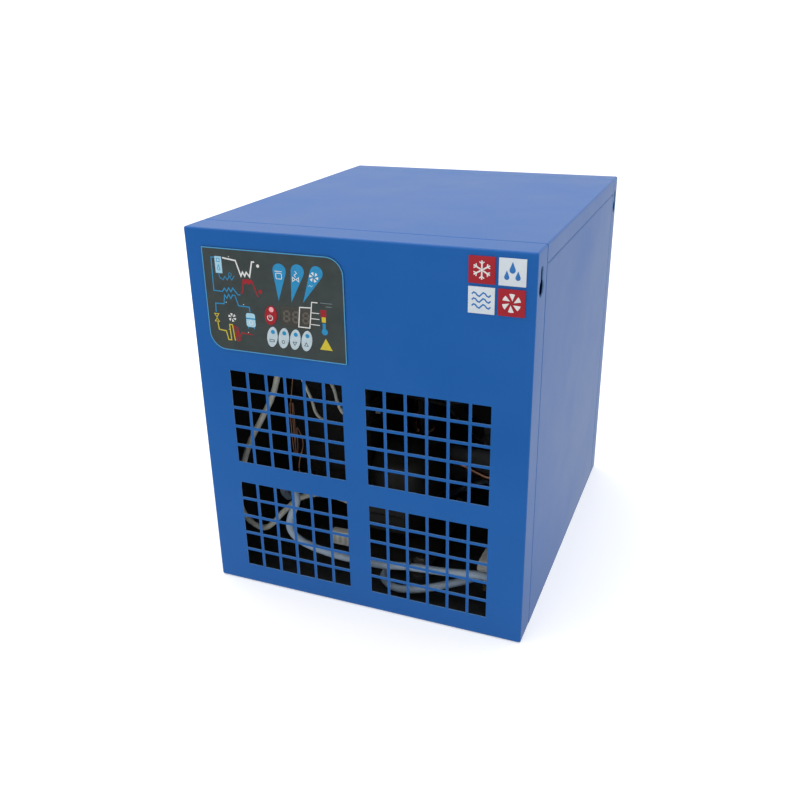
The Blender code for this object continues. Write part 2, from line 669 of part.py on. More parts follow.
def build_controls():
    """Overlay with five keys and a lens let into it, and the board and housing behind."""
    power_place = (OVERLAY_LEFT + KEY_FIRST_X, OVERLAY_LOW + POWER_Z)
    lens = (OVERLAY_LEFT + LENS_LEFT, OVERLAY_LOW + LENS_LOW)
    edge = rounded_rectangle(OVERLAY_LEFT, OVERLAY_LOW, OVERLAY_RIGHT, OVERLAY_TOP,
                             (OVERLAY_CORNER, 0, OVERLAY_CORNER, 0), 8)
    keys = [("power_key", power_place, POWER_HALF_WIDTH, POWER_HALF_HEIGHT, RED_PLASTIC)]
    for number, name in enumerate(("set_key", "test_key", "down_key", "up_key")):
        keys.append((name, key_place(number), KEY_HALF_WIDTH, KEY_HALF_HEIGHT, WHITE_PLASTIC))
    holes = [ellipse(place, w + KEY_FIT, h + KEY_FIT, KEY_TILT) for _, place, w, h, _ in keys]
    holes.append(rounded_rectangle(lens[0], lens[1], lens[0] + LENS_WIDTH, lens[1] + LENS_HEIGHT,
                                   (0, 0, 0, 0)))
    overlay = outline("control_overlay", [edge, *holes], OVERLAY_THICK, OVERLAY_GREY)
    overlay.location.y = OVERLAY_BACK - OVERLAY_THICK / 2
    for name, place, half_width, half_height, material in keys:
        thickness = OVERLAY_THICK + KEY_PROUD
        key = outline(name, [ellipse((0, 0), half_width, half_height, KEY_TILT)], thickness, material)
        key.location = (place[0], OVERLAY_BACK - thickness / 2, place[1])
    box("display_lens", (lens[0] + LENS_FIT, OVERLAY_BACK - OVERLAY_THICK, lens[1] + LENS_FIT),
        (lens[0] + LENS_WIDTH - LENS_FIT, OVERLAY_BACK, lens[1] + LENS_HEIGHT - LENS_FIT), SMOKED)

    inside = FRONT_Y + SHEET + GAP
    left, right = OVERLAY_LEFT + HOUSING_MARGIN, OVERLAY_RIGHT - HOUSING_MARGIN
    low, top = OVERLAY_LOW + HOUSING_MARGIN, OVERLAY_TOP - HOUSING_MARGIN
    folded_pan("control_housing", (left, inside, low), (right, inside + HOUSING_DEPTH, top), ["-Y"],
               HOUSING_WALL, BLACK_PLASTIC, radius=0.003)
    room = HOUSING_WALL + BOARD_FIT
    board_front = FRONT_Y + BOARD_SETBACK
    box("control_board", (left + room, board_front, low + room),
        (right - room, board_front + BOARD_THICK, top - room), BOARD_GREEN)
    box("display_module", (lens[0] + LENS_FIT, FRONT_Y + GAP, lens[1] + LENS_FIT),
        (lens[0] + LENS_WIDTH - LENS_FIT, board_front - GAP, lens[1] + LENS_HEIGHT - LENS_FIT),
        BLACK_PLASTIC)


def build_badge():
    right, top = HALF_W - BADGE_RIGHT, HEIGHT - BADGE_DROP
    plate = outline("badge_plate", [rounded_rectangle(
        right - BADGE_SIZE, top - BADGE_SIZE, right, top, [BADGE_CORNER] * 4)], BADGE_THICK, ALUMINIUM)
    plate.location.y = OVERLAY_BACK - BADGE_THICK / 2


# ---------------------------------------------------------------- compressor
def build_compressor():
    seam, squareness = COMP_SEAM, COMP_SQUARENESS
    dome, bowl = COMP_HEIGHT - seam - COMP_SEAM_HALF, seam - COMP_SEAM_HALF
    radius = COMP_HALF_LENGTH - COMP_SEAM_LIP
    profile = []
    for i in range(7):
        a = math.pi / 2 * i / 6
        profile.append((radius * math.sin(a) ** (2 / squareness),
                        seam + COMP_SEAM_HALF + dome * math.cos(a) ** (2 / squareness)))
    profile += [(COMP_HALF_LENGTH, seam + COMP_SEAM_HALF), (COMP_HALF_LENGTH, seam - COMP_SEAM_HALF)]
    for i in range(7):
        a = math.pi / 2 * (1 - i / 6)
        profile.append((radius * math.sin(a) ** (2 / squareness),
                        seam - COMP_SEAM_HALF - bowl * math.cos(a) ** (2 / squareness)))
    profile[0], profile[-1] = (0, COMP_HEIGHT), (0, 0)
    turned("compressor_shell", profile, BLACK_PAINT, (COMP_X, COMP_Y, SHELL_LOW), steps=28,
           scale=(COMP_HALF_WIDTH / COMP_HALF_LENGTH, 1, 1))

    plate = box("compressor_base_plate", (COMP_X - PLATE_HALF_X, COMP_Y - PLATE_HALF_Y, PLATE_LOW),
                (COMP_X + PLATE_HALF_X, COMP_Y + PLATE_HALF_Y, PLATE_LOW + PLATE_THICK), BLACK_PAINT)
    corners = [(COMP_X + sx * BOLT_X, COMP_Y + sy * BOLT_Y) for sy in (-1, 1) for sx in (-1, 1)]
    for number, (x, y) in enumerate(corners, 1):
        cut(plate, cylinder("grommet_hole_%d" % number, GROMMET_NECK + GAP, PLATE_LOW - 0.01,
                            PLATE_LOW + 0.02, "Z", 12, cutter=True, across=(x, y)))
        under, over = PLATE_LOW - GAP, PLATE_LOW + PLATE_THICK + GAP
        profile = [(GROMMET_CAP, over + GROMMET_CAP_HEIGHT), (GROMMET_CAP, over),
                   (GROMMET_NECK, over), (GROMMET_NECK, under), (GROMMET_RADIUS, under),
                   (GROMMET_RADIUS, TRAY_SHEET + GAP)]
        turned("compressor_grommet_%d" % number, ring_profile(profile, GROMMET_BORE), RUBBER,
               (x, y, 0), steps=12)
    low = SHELL_LOW + TERMINAL_Z - TERMINAL_HEIGHT / 2
    rear = COMP_Y - COMP_HALF_LENGTH - GAP
    box("compressor_terminal_cover", (COMP_X - TERMINAL_WIDTH / 2, rear - TERMINAL_DEPTH, low),
        (COMP_X + TERMINAL_WIDTH / 2, rear, low + TERMINAL_HEIGHT), BLACK_PLASTIC)


# ---------------------------------------------------------------- condenser and fan
def build_condenser():
    """Fin pack with the hairpin bends of its tubes standing out of both ends."""
    core = box("condenser_core", (CORE_LEFT, CORE_FRONT, CORE_LOW), (CORE_RIGHT, CORE_REAR, CORE_TOP),
               ALUMINIUM)
    step = CORE_HEIGHT / CORE_PASSES
    y = (CORE_FRONT + CORE_REAR) / 2
    for end, start_row in ((CORE_LEFT, 1), (CORE_RIGHT, 0)):
        away = 1 if end > CORE_LEFT else -1
        for row in range(start_row, CORE_PASSES - 1, 2):
            middle = CORE_LOW + step * (row + 1)
            bend = [(end - away * 0.004, y, middle - step / 2)]
            for a in range(-90, 91, 36):
                bend.append((end + away * step / 2 * math.cos(math.radians(a)) * 0.8, y,
                             middle + step / 2 * math.sin(math.radians(a))))
            bend.append((end - away * 0.004, y, middle + step / 2))
            name = "hairpin_%s_%d" % ("left" if away < 0 else "right", row)
            pin = tube(name, bend, HAIRPIN_TUBE, COPPER, spacing=1.0, resolution=1)
            PARTS.objects.unlink(pin)
            CUTTERS.objects.link(pin)
            join(core, as_mesh(hide_cutter(pin)))


def build_fan_shroud():
    ring = FAN_RADIUS + FAN_TIP_CLEAR
    shroud = folded_pan("fan_shroud", (CORE_LEFT, SHROUD_FRONT, CORE_LOW),
                        (CORE_RIGHT, CORE_FRONT - GAP, CORE_TOP), ["+Y"], SHROUD_SHEET, BLACK_PAINT)
    collar = cylinder("shroud_collar", ring + SHROUD_SHEET, SHROUD_FRONT - COLLAR_DEPTH,
                      SHROUD_FRONT + SHROUD_SHEET / 2, sides=40, cutter=True, across=(FAN_X, FAN_Z))
    bore = cylinder("shroud_bore", ring, SHROUD_FRONT - COLLAR_DEPTH - 0.01, SHROUD_FRONT + 0.01,
                    sides=40, cutter=True, across=(FAN_X, FAN_Z))
    join(shroud, collar)
    cut(shroud, bore)


def blade(number):
    """One twisted blade from inside the hub to the tip, steeper at the root."""
    shape = bmesh.new()
    bmesh.ops.create_grid(shape, x_segments=4, y_segments=3, size=0.5)
    inner, outer = HUB_RADIUS * 0.8, FAN_RADIUS
    for vertex in shape.verts:
        along, across = vertex.co.y + 0.5, vertex.co.x
        reach = inner + (outer - inner) * along
        sweep = across * (0.95 - 0.25 * along)
        pitch = math.tan(BLADE_TWIST) * (1.05 - 0.45 * along)
        rise = max(-1.0, min(1.0, across * 2)) * HUB_LENGTH * 0.42 * pitch / math.tan(BLADE_TWIST)
        vertex.co = (reach * math.sin(sweep), rise, reach * math.cos(sweep))
    obj = object_from_bmesh("fan_blade_%d" % number, shape, cutter=True)
    obj.data.shade_smooth()
    wall = obj.modifiers.new("Blade", "SOLIDIFY")
    wall.thickness = BLADE_THICK
    wall.offset = 0
    obj.rotation_euler = (0, 2 * math.pi * number / BLADES, 0)
    obj.location = (FAN_X, (ROTOR_FRONT + ROTOR_REAR) / 2, FAN_Z)
    return obj


def build_fan():
    """Rotor in the shroud's collar, turned by a motor on a strap across the collar."""
    rotor = cylinder("fan_rotor", HUB_RADIUS, ROTOR_FRONT, ROTOR_REAR, sides=20, material=BLACK_PLASTIC,
                     across=(FAN_X, FAN_Z))
    join(rotor, *[blade(number) for number in range(BLADES)])
    boss_end = ROTOR_FRONT - GAP
    front = BRACKET_FRONT - GAP - MOTOR_LENGTH
    profile = [(0, boss_end - front), (MOTOR_BOSS, boss_end - front),
               (MOTOR_BOSS, MOTOR_LENGTH), (MOTOR_RADIUS * 0.86, MOTOR_LENGTH),
               (MOTOR_RADIUS, MOTOR_LENGTH * 0.86), (MOTOR_RADIUS, MOTOR_LENGTH * 0.2),
               (MOTOR_RADIUS * 0.7, 0), (0, 0)]
    turned("fan_motor", profile, BLACK_PAINT, (FAN_X, front, FAN_Z), axis="Y", steps=20)

    half = CORE_HEIGHT / 2 - 0.002
    leg = FAN_RADIUS + FAN_TIP_CLEAR + SHROUD_SHEET + BOSS_CLEAR
    foot = SHROUD_FRONT - GAP
    path = [(foot, -half), (foot, -leg), (BRACKET_REAR, -leg), (BRACKET_REAR, leg),
            (foot, leg), (foot, half)]
    shape = bmesh.new()
    row = [shape.verts.new((-BRACKET_WIDTH / 2, y, z)) for y, z in path]
    edges = [shape.edges.new(pair) for pair in zip(row, row[1:])]
    made = bmesh.ops.extrude_edge_only(shape, edges=edges)
    moved = [item for item in made["geom"] if isinstance(item, bmesh.types.BMVert)]
    bmesh.ops.translate(shape, verts=moved, vec=(BRACKET_WIDTH, 0, 0))
    bmesh.ops.recalc_face_normals(shape, faces=shape.faces)
    bracket = object_from_bmesh("fan_motor_bracket", shape, GALVANISED)
    bracket.location = (FAN_X, 0, FAN_Z)
    wall = bracket.modifiers.new("Strap", "SOLIDIFY")
    wall.thickness = BRACKET_SHEET
    wall.offset = 1 if bracket.data.polygons[2].normal.y < 0 else -1
    wall.use_even_offset = True
    cut(bracket, cylinder("boss_hole", MOTOR_BOSS + BOSS_CLEAR, BRACKET_FRONT - 0.01,
                          BRACKET_REAR + 0.004, sides=20, cutter=True, across=(FAN_X, FAN_Z)))


# ---------------------------------------------------------------- heat exchanger and air pipes
def build_exchanger():
    block = box("heat_exchanger", (BLOCK_LEFT, BLOCK_FRONT, BLOCK_LOW), (BLOCK_RIGHT, BLOCK_REAR, BLOCK_TOP),
                BLACK_FOAM)
    rounding = block.modifiers.new("Round", "BEVEL")
    rounding.width = BLOCK_ROUND
    rounding.segments = 2
    folded_pan("exchanger_stand", (BLOCK_LEFT + STAND_INSET, BLOCK_FRONT + STAND_INSET, TRAY_SHEET + GAP),
               (BLOCK_RIGHT - STAND_INSET, BLOCK_REAR - STAND_INSET, BLOCK_LOW - GAP),
               ["-Z", "-Y", "+Y"], STAND_SHEET, GALVANISED)


def build_port(word, x):
    """Female pipe port clamped in the rear panel, and the pipe from it to the exchanger."""
    face = REAR_Y + GAP + PORT_PROJECTION
    port = cylinder(word + "_port", PORT_FLATS / math.sqrt(3), REAR_Y + GAP, face, sides=6,
                    material=BRASS, across=(x, PORT_Z))
    barrel = cylinder(word + "_barrel", PORT_BARREL, PORT_END, face - 0.002, cutter=True,
                      across=(x, PORT_Z))
    bore = cylinder(word + "_bore", PORT_BORE, face - PORT_BORE_DEPTH, face + 0.01, cutter=True,
                    across=(x, PORT_Z))
    join(port, barrel)
    cut(port, bore)
    bend = (PORT_Z - BLOCK_TOP) * 0.62
    route = [(x, PORT_END - GAP, PORT_Z), (x, PIPE_ENTRY_Y + bend * 1.6, PORT_Z),
             (x, PIPE_ENTRY_Y + bend, PORT_Z - bend * 0.04),
             (x, PIPE_ENTRY_Y + bend * 0.3, PORT_Z - bend * 0.3),
             (x, PIPE_ENTRY_Y, PORT_Z - bend), (x, PIPE_ENTRY_Y, BLOCK_TOP + GAP)]
    tube(word + "_pipe", route, PIPE_RADIUS, COPPER, spacing=0.010, resolution=4)


def build_drain_port():
    """Hose barb outside, plain barrel through the panel and the tray wall inside."""
    barb, out = DRAIN_BARB, DRAIN_PROJECTION
    profile = [(barb * 0.82, out), (barb, out * 0.72), (barb * 0.8, out * 0.70), (barb, out * 0.42),
               (barb * 0.8, out * 0.40), (barb * 0.8, out * 0.2), (barb * 1.35, out * 0.2),
               (barb * 1.35, GAP), (DRAIN_BARREL, GAP), (DRAIN_BARREL, -DRAIN_INSIDE)]
    turned("drain_port", ring_profile(profile, DRAIN_BORE), BRASS, (DRAIN_X, REAR_Y, DRAIN_Z),
           axis="Y", steps=16)


def build_gland():
    nut, out = GLAND_NUT, GLAND_PROJECTION
    profile = [(nut * 0.62, out), (nut * 0.80, out * 0.82), (nut * 0.86, out * 0.42),
               (nut * 0.86, out * 0.36), (nut, out * 0.36), (nut, GAP), (GLAND_BARREL, GAP),
               (GLAND_BARREL, -GLAND_INSIDE)]
    turned("cable_gland", ring_profile(profile, GLAND_BORE), BLACK_PLASTIC,
           (GLAND_X, REAR_Y, GLAND_Z), axis="Y", steps=18)


# ---------------------------------------------------------------- condensate line
def build_condensate_valves():
    front = BLOCK_FRONT - GAP - VALVE_LENGTH
    r, length = VALVE_RADIUS, VALVE_LENGTH
    profile = [(0, length), (r, length), (r, length * 0.82), (r * 0.72, length * 0.8),
               (r * 0.72, length * 0.72), (r * 1.12, length * 0.66), (r * 1.12, length * 0.36),
               (r * 0.72, length * 0.30), (r * 0.72, length * 0.22), (r * 0.9, length * 0.2),
               (r * 0.9, 0), (0, 0)]
    turned("strainer_ball_valve", profile, BRASS, (VALVE_X, front, VALVE_Z), axis="Y", steps=14)

    pivot_y = front + length / 2
    low = VALVE_Z + r * 1.12 + GAP
    top = low + LEVER_POST * 1.6
    post = cylinder("drain_valve_lever", LEVER_POST, low, top, "Z", 12, BLACK_PLASTIC,
                    across=(VALVE_X, pivot_y))
    arm = box("lever_arm", (VALVE_X - LEVER_WIDTH / 2, pivot_y - LEVER_REACH, top - LEVER_THICK),
              (VALVE_X + LEVER_WIDTH / 2, pivot_y + LEVER_WIDTH / 2, top + LEVER_THICK), cutter=True)
    rounding = arm.modifiers.new("Round", "BEVEL")
    rounding.width = LEVER_THICK * 0.45
    rounding.segments = 1
    join(post, arm)

    half = SOLENOID_SIDE / 2
    box("drain_solenoid_valve", (SOLENOID_X - half, SOLENOID_Y - half, SOLENOID_Z - half),
        (SOLENOID_X + half, SOLENOID_Y + half, SOLENOID_Z + half), BRASS)
    coil, low = COIL_SIDE / 2, SOLENOID_Z + half + GAP
    box("drain_solenoid_coil", (SOLENOID_X - coil, SOLENOID_Y - coil, low),
        (SOLENOID_X + coil, SOLENOID_Y + coil, low + COIL_HEIGHT), WHITE_PLASTIC)


def build_hoses():
    valve_end = BLOCK_FRONT - 2 * GAP - VALVE_LENGTH
    half = SOLENOID_SIDE / 2 + GAP
    tube("condensate_hose", [
        (VALVE_X, valve_end, VALVE_Z), (VALVE_X, valve_end - 0.012, VALVE_Z), (-0.138, -0.140, 0.082),
        (-0.118, -0.166, 0.108), (-0.100, -0.182, 0.116), (-0.092, -0.190, 0.104),
        (-0.099, -0.191, 0.085), (-0.103, -0.191, 0.068), (-0.095, -0.191, 0.055),
        (-0.076, -0.190, 0.046), (-0.040, -0.189, 0.040), (0.008, -0.189, 0.040),
        (TIE_X, -0.189, 0.0455), (0.090, -0.189, 0.049), (0.130, -0.189, 0.054), (0.152, -0.187, 0.050),
        (0.164, -0.178, 0.041), (0.167, -0.167, 0.033), (SOLENOID_X + half + 0.010, SOLENOID_Y, SOLENOID_Z),
        (SOLENOID_X + half, SOLENOID_Y, SOLENOID_Z)], HOSE_RADIUS, GREY_HOSE, spacing=0.010)
    tube("drain_outlet_hose", [
        (SOLENOID_X - half, SOLENOID_Y, SOLENOID_Z), (SOLENOID_X - half - 0.006, SOLENOID_Y, SOLENOID_Z),
        (0.098, -0.176, 0.028), (0.060, -0.188, 0.018), (0.030, -0.186, 0.0105), (0.009, -0.172, 0.0080),
        (0.003, -0.150, 0.0072), (0.003, -0.060, 0.0070), (0.014, 0.040, 0.0070), (0.055, 0.105, 0.0080),
        (0.100, 0.150, 0.012), (DRAIN_X, 0.188, DRAIN_Z),
        (DRAIN_X, REAR_Y - DRAIN_INSIDE - GAP, DRAIN_Z)], HOSE_RADIUS, GREY_HOSE, spacing=0.014)


def build_tie():
    """Band round the condensate hose, with its square head on top."""
    inner = HOSE_RADIUS + TIE_SLACK
    outer = inner + TIE_THICK
    place = (-0.189, 0.0455)
    band = cylinder("hose_tie", outer, TIE_X - TIE_BAND / 2, TIE_X + TIE_BAND / 2, "X", 16,
                    BLACK_PLASTIC, across=place)
    head = box("tie_head", (TIE_X - TIE_BAND * 0.8, place[0] - 0.003, place[1] + outer - TIE_THICK / 2),
               (TIE_X + TIE_BAND * 0.8, place[0] + 0.003, place[1] + outer + 0.003), cutter=True)
    hole = cylinder("tie_hole", inner, TIE_X - 0.01, TIE_X + 0.01, "X", 16, cutter=True, across=place)
    join(band, head)
    cut(band, hole)


def build_connector():
    """White housing in which the cable to the compressor is joined."""
    size, place = Vector(CONNECTOR_SIZE), Vector(CONNECTOR_PLACE)
    housing = box("wiring_connector", place - size / 2, place + size / 2, WHITE_PLASTIC)
    rounding = housing.modifiers.new("Round", "BEVEL")
    rounding.width = 0.0025
    rounding.segments = 2


# ---------------------------------------------------------------- refrigerant circuit
def build_refrigerant_lines():
    shell_rear = COMP_Y + COMP_HALF_LENGTH + GAP
    seam_z = SHELL_LOW + COMP_SEAM
    tube("suction_line", [
        (COMP_X - 0.012, shell_rear, seam_z), (COMP_X - 0.012, shell_rear + 0.010, seam_z),
        (-0.014, 0.024, 0.120), (-0.018, 0.028, 0.160), (-0.024, 0.026, 0.200),
        (-0.042, 0.018, 0.226), (BLOCK_RIGHT + GAP, 0.018, 0.226)], 0.0065, BLACK_FOAM, 0.013)
    tube("discharge_line", [
        (COMP_X + 0.020, shell_rear, seam_z), (COMP_X + 0.020, shell_rear + 0.010, seam_z),
        (0.040, 0.020, 0.072), (0.085, 0.018, 0.060), (0.135, 0.022, 0.072), (0.162, 0.030, 0.105),
        (0.171, 0.045, 0.160), (0.172, 0.080, 0.222), (0.171, 0.130, 0.260),
        (0.160, 0.166, 0.268), (CORE_RIGHT - 0.016, (CORE_FRONT + CORE_REAR) / 2, 0.259),
        (CORE_RIGHT - 0.016, (CORE_FRONT + CORE_REAR) / 2, CORE_TOP + GAP)], 0.0040, COPPER, 0.015)
    tube("liquid_line", [
        (CORE_LEFT - GAP, (CORE_FRONT + CORE_REAR) / 2, CORE_LOW + 0.006),
        (CORE_LEFT - 0.010, (CORE_FRONT + CORE_REAR) / 2, CORE_LOW + 0.006),
        (-0.062, 0.164, 0.036), (-0.074, 0.159, 0.040), (DRIER_X, DRIER_Y, 0.050),
        (DRIER_X, DRIER_Y, DRIER_LOW - GAP)], 0.0030, COPPER, 0.009, 1)
    r, length = DRIER_RADIUS, DRIER_LENGTH
    turned("filter_drier", [(0, length), (r * 0.3, length), (r * 0.36, length * 0.92),
                            (r, length * 0.8), (r, length * 0.2), (r * 0.36, length * 0.08),
                            (r * 0.3, 0), (0, 0)], COPPER, (DRIER_X, DRIER_Y, DRIER_LOW), steps=14)
    r, length = HOT_VALVE_RADIUS, HOT_VALVE_LENGTH
    turned("hot_gas_valve", [(0, length), (r * 0.8, length), (r * 0.8, length * 0.72),
                             (r, length * 0.7), (r, length * 0.4), (r * 1.25, length * 0.38),
                             (r * 1.25, length * 0.26), (r * 0.6, length * 0.22), (r * 0.6, 0),
                             (0, 0)], BRASS, (HOT_VALVE_X, HOT_VALVE_Y, HOT_VALVE_LOW), steps=14)
    tube("hot_gas_line", [
        (HOT_VALVE_X, HOT_VALVE_Y, HOT_VALVE_LOW - GAP), (HOT_VALVE_X, HOT_VALVE_Y, 0.240),
        (0.010, 0.020, 0.222), (0.060, 0.010, 0.216), (0.110, 0.014, 0.206),
        (0.146, 0.030, 0.196), (0.160, 0.040, 0.192)], 0.0030, COPPER, 0.014, 1)


def capillary_route():
    """Drier to the front, a hank of upright loops side by side, then down to the exchanger."""
    route = [(DRIER_X, DRIER_Y, DRIER_LOW + DRIER_LENGTH + GAP), (DRIER_X, DRIER_Y, 0.170),
             (-0.084, 0.150, 0.230), (-0.105, 0.118, 0.300), (-0.112, 0.090, 0.338),
             (-0.112, 0.020, 0.341), (-0.114, -0.050, 0.336), (-0.122, -0.088, 0.300),
             (-0.127, -0.108, 0.250)]
    centre, half_y, half_z = Vector((-0.1270, -0.122, 0.161)), 0.0045, 0.035
    turns = 10
    for i in range(2, CAPILLARY_LOOPS * turns + 1):
        a = 2 * math.pi * i / turns
        drift = 0.0034 * (i / turns - CAPILLARY_LOOPS / 2)
        route.append((centre.x + drift, centre.y + half_y * math.cos(a), centre.z + half_z * math.sin(a)))
    return route + [(-0.121, -0.114, 0.138), (-0.123, -0.124, 0.112), (-0.118, -0.126, 0.080),
                    (-0.112, -0.110, 0.060), (-0.104, -0.080, 0.060),
                    (-0.104, BLOCK_FRONT - GAP, 0.060)]


def build_capillary():
    tube("capillary_tube", capillary_route(), CAPILLARY_RADIUS, COPPER, 0.020, 1)


# ---------------------------------------------------------------- cables
def build_cables():
    housing_low = OVERLAY_LOW + HOUSING_MARGIN - GAP
    cover_left = COMP_X - TERMINAL_WIDTH / 2 - GAP
    motor_front = BRACKET_FRONT - 2 * GAP - MOTOR_LENGTH
    cover_y = COMP_Y - COMP_HALF_LENGTH - TERMINAL_DEPTH / 2
    tube("compressor_cable", [
        (-0.104, -0.195, housing_low), (-0.104, -0.195, housing_low - 0.010), (-0.107, -0.184, 0.264),
        (-0.119, -0.178, 0.230), (-0.138, -0.177, 0.195), (-0.154, -0.177, 0.167),
        (-0.166, -0.177, 0.138), (-0.1755, -0.1768, 0.112), (-0.1790, -0.1766, 0.090),
        (-0.1765, -0.1766, 0.068), (-0.166, -0.177, 0.054), (-0.150, -0.178, 0.049),
        (-0.136, -0.178, 0.056), (-0.118, -0.172, 0.077), (-0.103, -0.160, 0.090),
        (-0.082, -0.148, 0.093), (-0.058, -0.142, 0.088), (cover_left - 0.014, cover_y, 0.080),
        (cover_left, cover_y, 0.080)], 0.0035, GREY_CABLE, 0.011)
    tube("fan_cable", [
        (-0.060, -0.192, housing_low), (-0.060, -0.192, housing_low - 0.010), (-0.059, -0.168, 0.262),
        (-0.057, -0.150, 0.234), (-0.054, -0.147, 0.215), (-0.049, -0.141, 0.200),
        (-0.044, -0.115, 0.190), (-0.038, -0.050, 0.184), (-0.018, -0.012, 0.174),
        (0.030, 0.010, 0.160), (FAN_X, motor_front - 0.016, FAN_Z + 0.012),
        (FAN_X, motor_front, FAN_Z + 0.012)], 0.0020, GREY_CABLE, 0.013, 1)
    tube("probe_cable", [
        (-0.089, -0.192, housing_low), (-0.089, -0.192, housing_low - 0.010),
        (-0.088, -0.172, 0.258), (-0.086, -0.151, 0.218),
        (-0.082, -0.148, 0.199), (-0.074, -0.143, 0.189), (-0.062, -0.118, 0.176),
        (-0.050, -0.090, 0.166), (-0.044, -0.060, 0.160), (-0.046, -0.038, 0.158),
        (BLOCK_RIGHT + GAP, -0.038, 0.158)], 0.0018, GREY_CABLE, 0.013, 1)


# ---------------------------------------------------------------- assembly
clear_scene()
PARTS = new_collection("refrigerated_air_dryer")
CUTTERS = new_collection("cutters")

BLUE_PAINT = make_material("blue_paint", (0.012, 0.115, 0.420), 0.35)
GALVANISED = make_material("galvanised", (0.55, 0.56, 0.57), 0.42, 0.9)
BLACK_PAINT = make_material("black_paint", (0.015, 0.015, 0.016), 0.40)
BLACK_PLASTIC = make_material("black_plastic", (0.020, 0.020, 0.021), 0.50)
WHITE_PLASTIC = make_material("white_plastic", (0.78, 0.80, 0.80), 0.45)
RED_PLASTIC = make_material("red_plastic", (0.60, 0.020, 0.025), 0.40)
OVERLAY_GREY = make_material("overlay_grey", (0.060, 0.070, 0.068), 0.45)
SMOKED = make_material("smoked_lens", (0.035, 0.030, 0.030), 0.15)
BOARD_GREEN = make_material("board_green", (0.020, 0.150, 0.060), 0.50)
BLACK_FOAM = make_material("black_foam", (0.012, 0.012, 0.012), 0.95)
RUBBER = make_material("rubber", (0.018, 0.018, 0.018), 0.80)
COPPER = make_material("copper", (0.72, 0.34, 0.20), 0.30, 1.0)
BRASS = make_material("brass", (0.74, 0.56, 0.26), 0.32, 1.0)
ALUMINIUM = make_material("aluminium", (0.76, 0.77, 0.78), 0.35, 1.0)
STEEL = make_material("zinc_steel", (0.66, 0.66, 0.64), 0.35, 1.0)
GREY_CABLE = make_material("grey_cable", (0.42, 0.43, 0.41), 0.55)
GREY_HOSE = make_material("grey_hose", (0.55, 0.57, 0.58), 0.45)

DRAIN_CUTTER = cylinder("drain_hole", DRAIN_BARREL + PANEL_FIT, REAR_Y - 0.01, REAR_Y + 0.01,
                        sides=16, cutter=True, across=(DRAIN_X, DRAIN_Z))
SCREW_CUTTERS = [cylinder("screw_hole_%d" % number, SCREW_SHANK + SCREW_FIT, REAR_Y - 0.01,
                          REAR_Y + 0.01, sides=12, cutter=True, across=place)
                 for number, place in enumerate(screw_places(), 1)]

build_base_tray()
build_front_panel()
build_rear_panel()
build_top_cover()
build_side_panels()
build_rear_rail()
build_screws()
build_controls()
build_badge()
build_compressor()
build_condenser()
build_fan_shroud()
build_fan()
build_exchanger()
build_port("inlet", INLET_X)
build_port("outlet", OUTLET_X)
build_drain_port()
build_gland()
build_condensate_valves()
build_hoses()
build_tie()
build_connector()
build_refrigerant_lines()
build_capillary()
build_cables()
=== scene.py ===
"""Looks of a refrigerated air dryer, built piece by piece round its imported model.

Metres, +Z up. The front, with the control film and the air grilles, faces -Y.
"""
import math
from functools import partial

import bmesh
import bpy
from mathutils import Matrix, Vector


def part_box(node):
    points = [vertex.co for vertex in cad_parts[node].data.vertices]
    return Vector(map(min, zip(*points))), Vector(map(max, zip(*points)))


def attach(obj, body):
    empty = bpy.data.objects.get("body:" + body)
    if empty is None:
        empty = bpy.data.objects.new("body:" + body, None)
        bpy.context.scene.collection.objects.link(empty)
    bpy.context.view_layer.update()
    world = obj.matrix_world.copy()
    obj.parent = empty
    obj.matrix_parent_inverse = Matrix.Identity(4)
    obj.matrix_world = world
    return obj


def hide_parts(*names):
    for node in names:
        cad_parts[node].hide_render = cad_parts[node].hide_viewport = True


bl_info = {
    "name": "Refrigerated Air Dryer",
    "version": (1, 0, 0),
    "blender": (4, 5, 0),
    "location": "View3D > Sidebar > Air Dryer",
    "description": "Builds the panels, controls and refrigeration parts of a compressed-air dryer",
    "category": "Add Mesh",
}

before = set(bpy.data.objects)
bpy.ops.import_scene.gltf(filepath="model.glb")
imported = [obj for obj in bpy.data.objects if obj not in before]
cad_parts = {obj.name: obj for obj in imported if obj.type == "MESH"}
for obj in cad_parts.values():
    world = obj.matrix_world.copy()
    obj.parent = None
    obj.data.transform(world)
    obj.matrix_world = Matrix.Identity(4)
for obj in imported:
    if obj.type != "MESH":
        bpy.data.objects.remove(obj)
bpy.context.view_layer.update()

# ---------------------------------------------------------------- places taken from the model
FRONT_LOW, FRONT_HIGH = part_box("front_panel")
REAR_LOW, REAR_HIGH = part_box("rear_panel")
FILM_LOW, FILM_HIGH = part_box("control_overlay")
LENS_LOW, LENS_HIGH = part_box("display_lens")
BADGE_LOW, BADGE_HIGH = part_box("badge_plate")
CORE_LOW, CORE_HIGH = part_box("condenser_core")
SHROUD_LOW, SHROUD_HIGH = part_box("fan_shroud")
ROTOR_LOW, ROTOR_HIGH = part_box("fan_rotor")
BLOCK_LOW, BLOCK_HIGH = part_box("heat_exchanger")
SHELL_LOW, SHELL_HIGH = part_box("compressor_shell")
HALF_W = FRONT_HIGH.x
FRONT_Y = FRONT_LOW.y
REAR_Y = REAR_HIGH.y
TOP = FRONT_HIGH.z
FAN_X = (ROTOR_LOW.x + ROTOR_HIGH.x) / 2
FAN_Z = (CORE_LOW.z + CORE_HIGH.z) / 2
CORE_HALF = 0.095         # middle of the fan to the end plates of the condenser
SHELL_SEAM = 0.066        # foot of the compressor shell to its welded seam
GAP = 0.0003              # between parts that meet
PRINT = 0.00006           # how far printed marks stand out of the film
KEY_ROOM = 0.00026        # left free behind each key, so that a pressed key clears the sheet
SEAM = 0.0004             # how far the cover and the sides stand back at their seams
NEAR = 1e-6               # vertices this close to a level lie on it
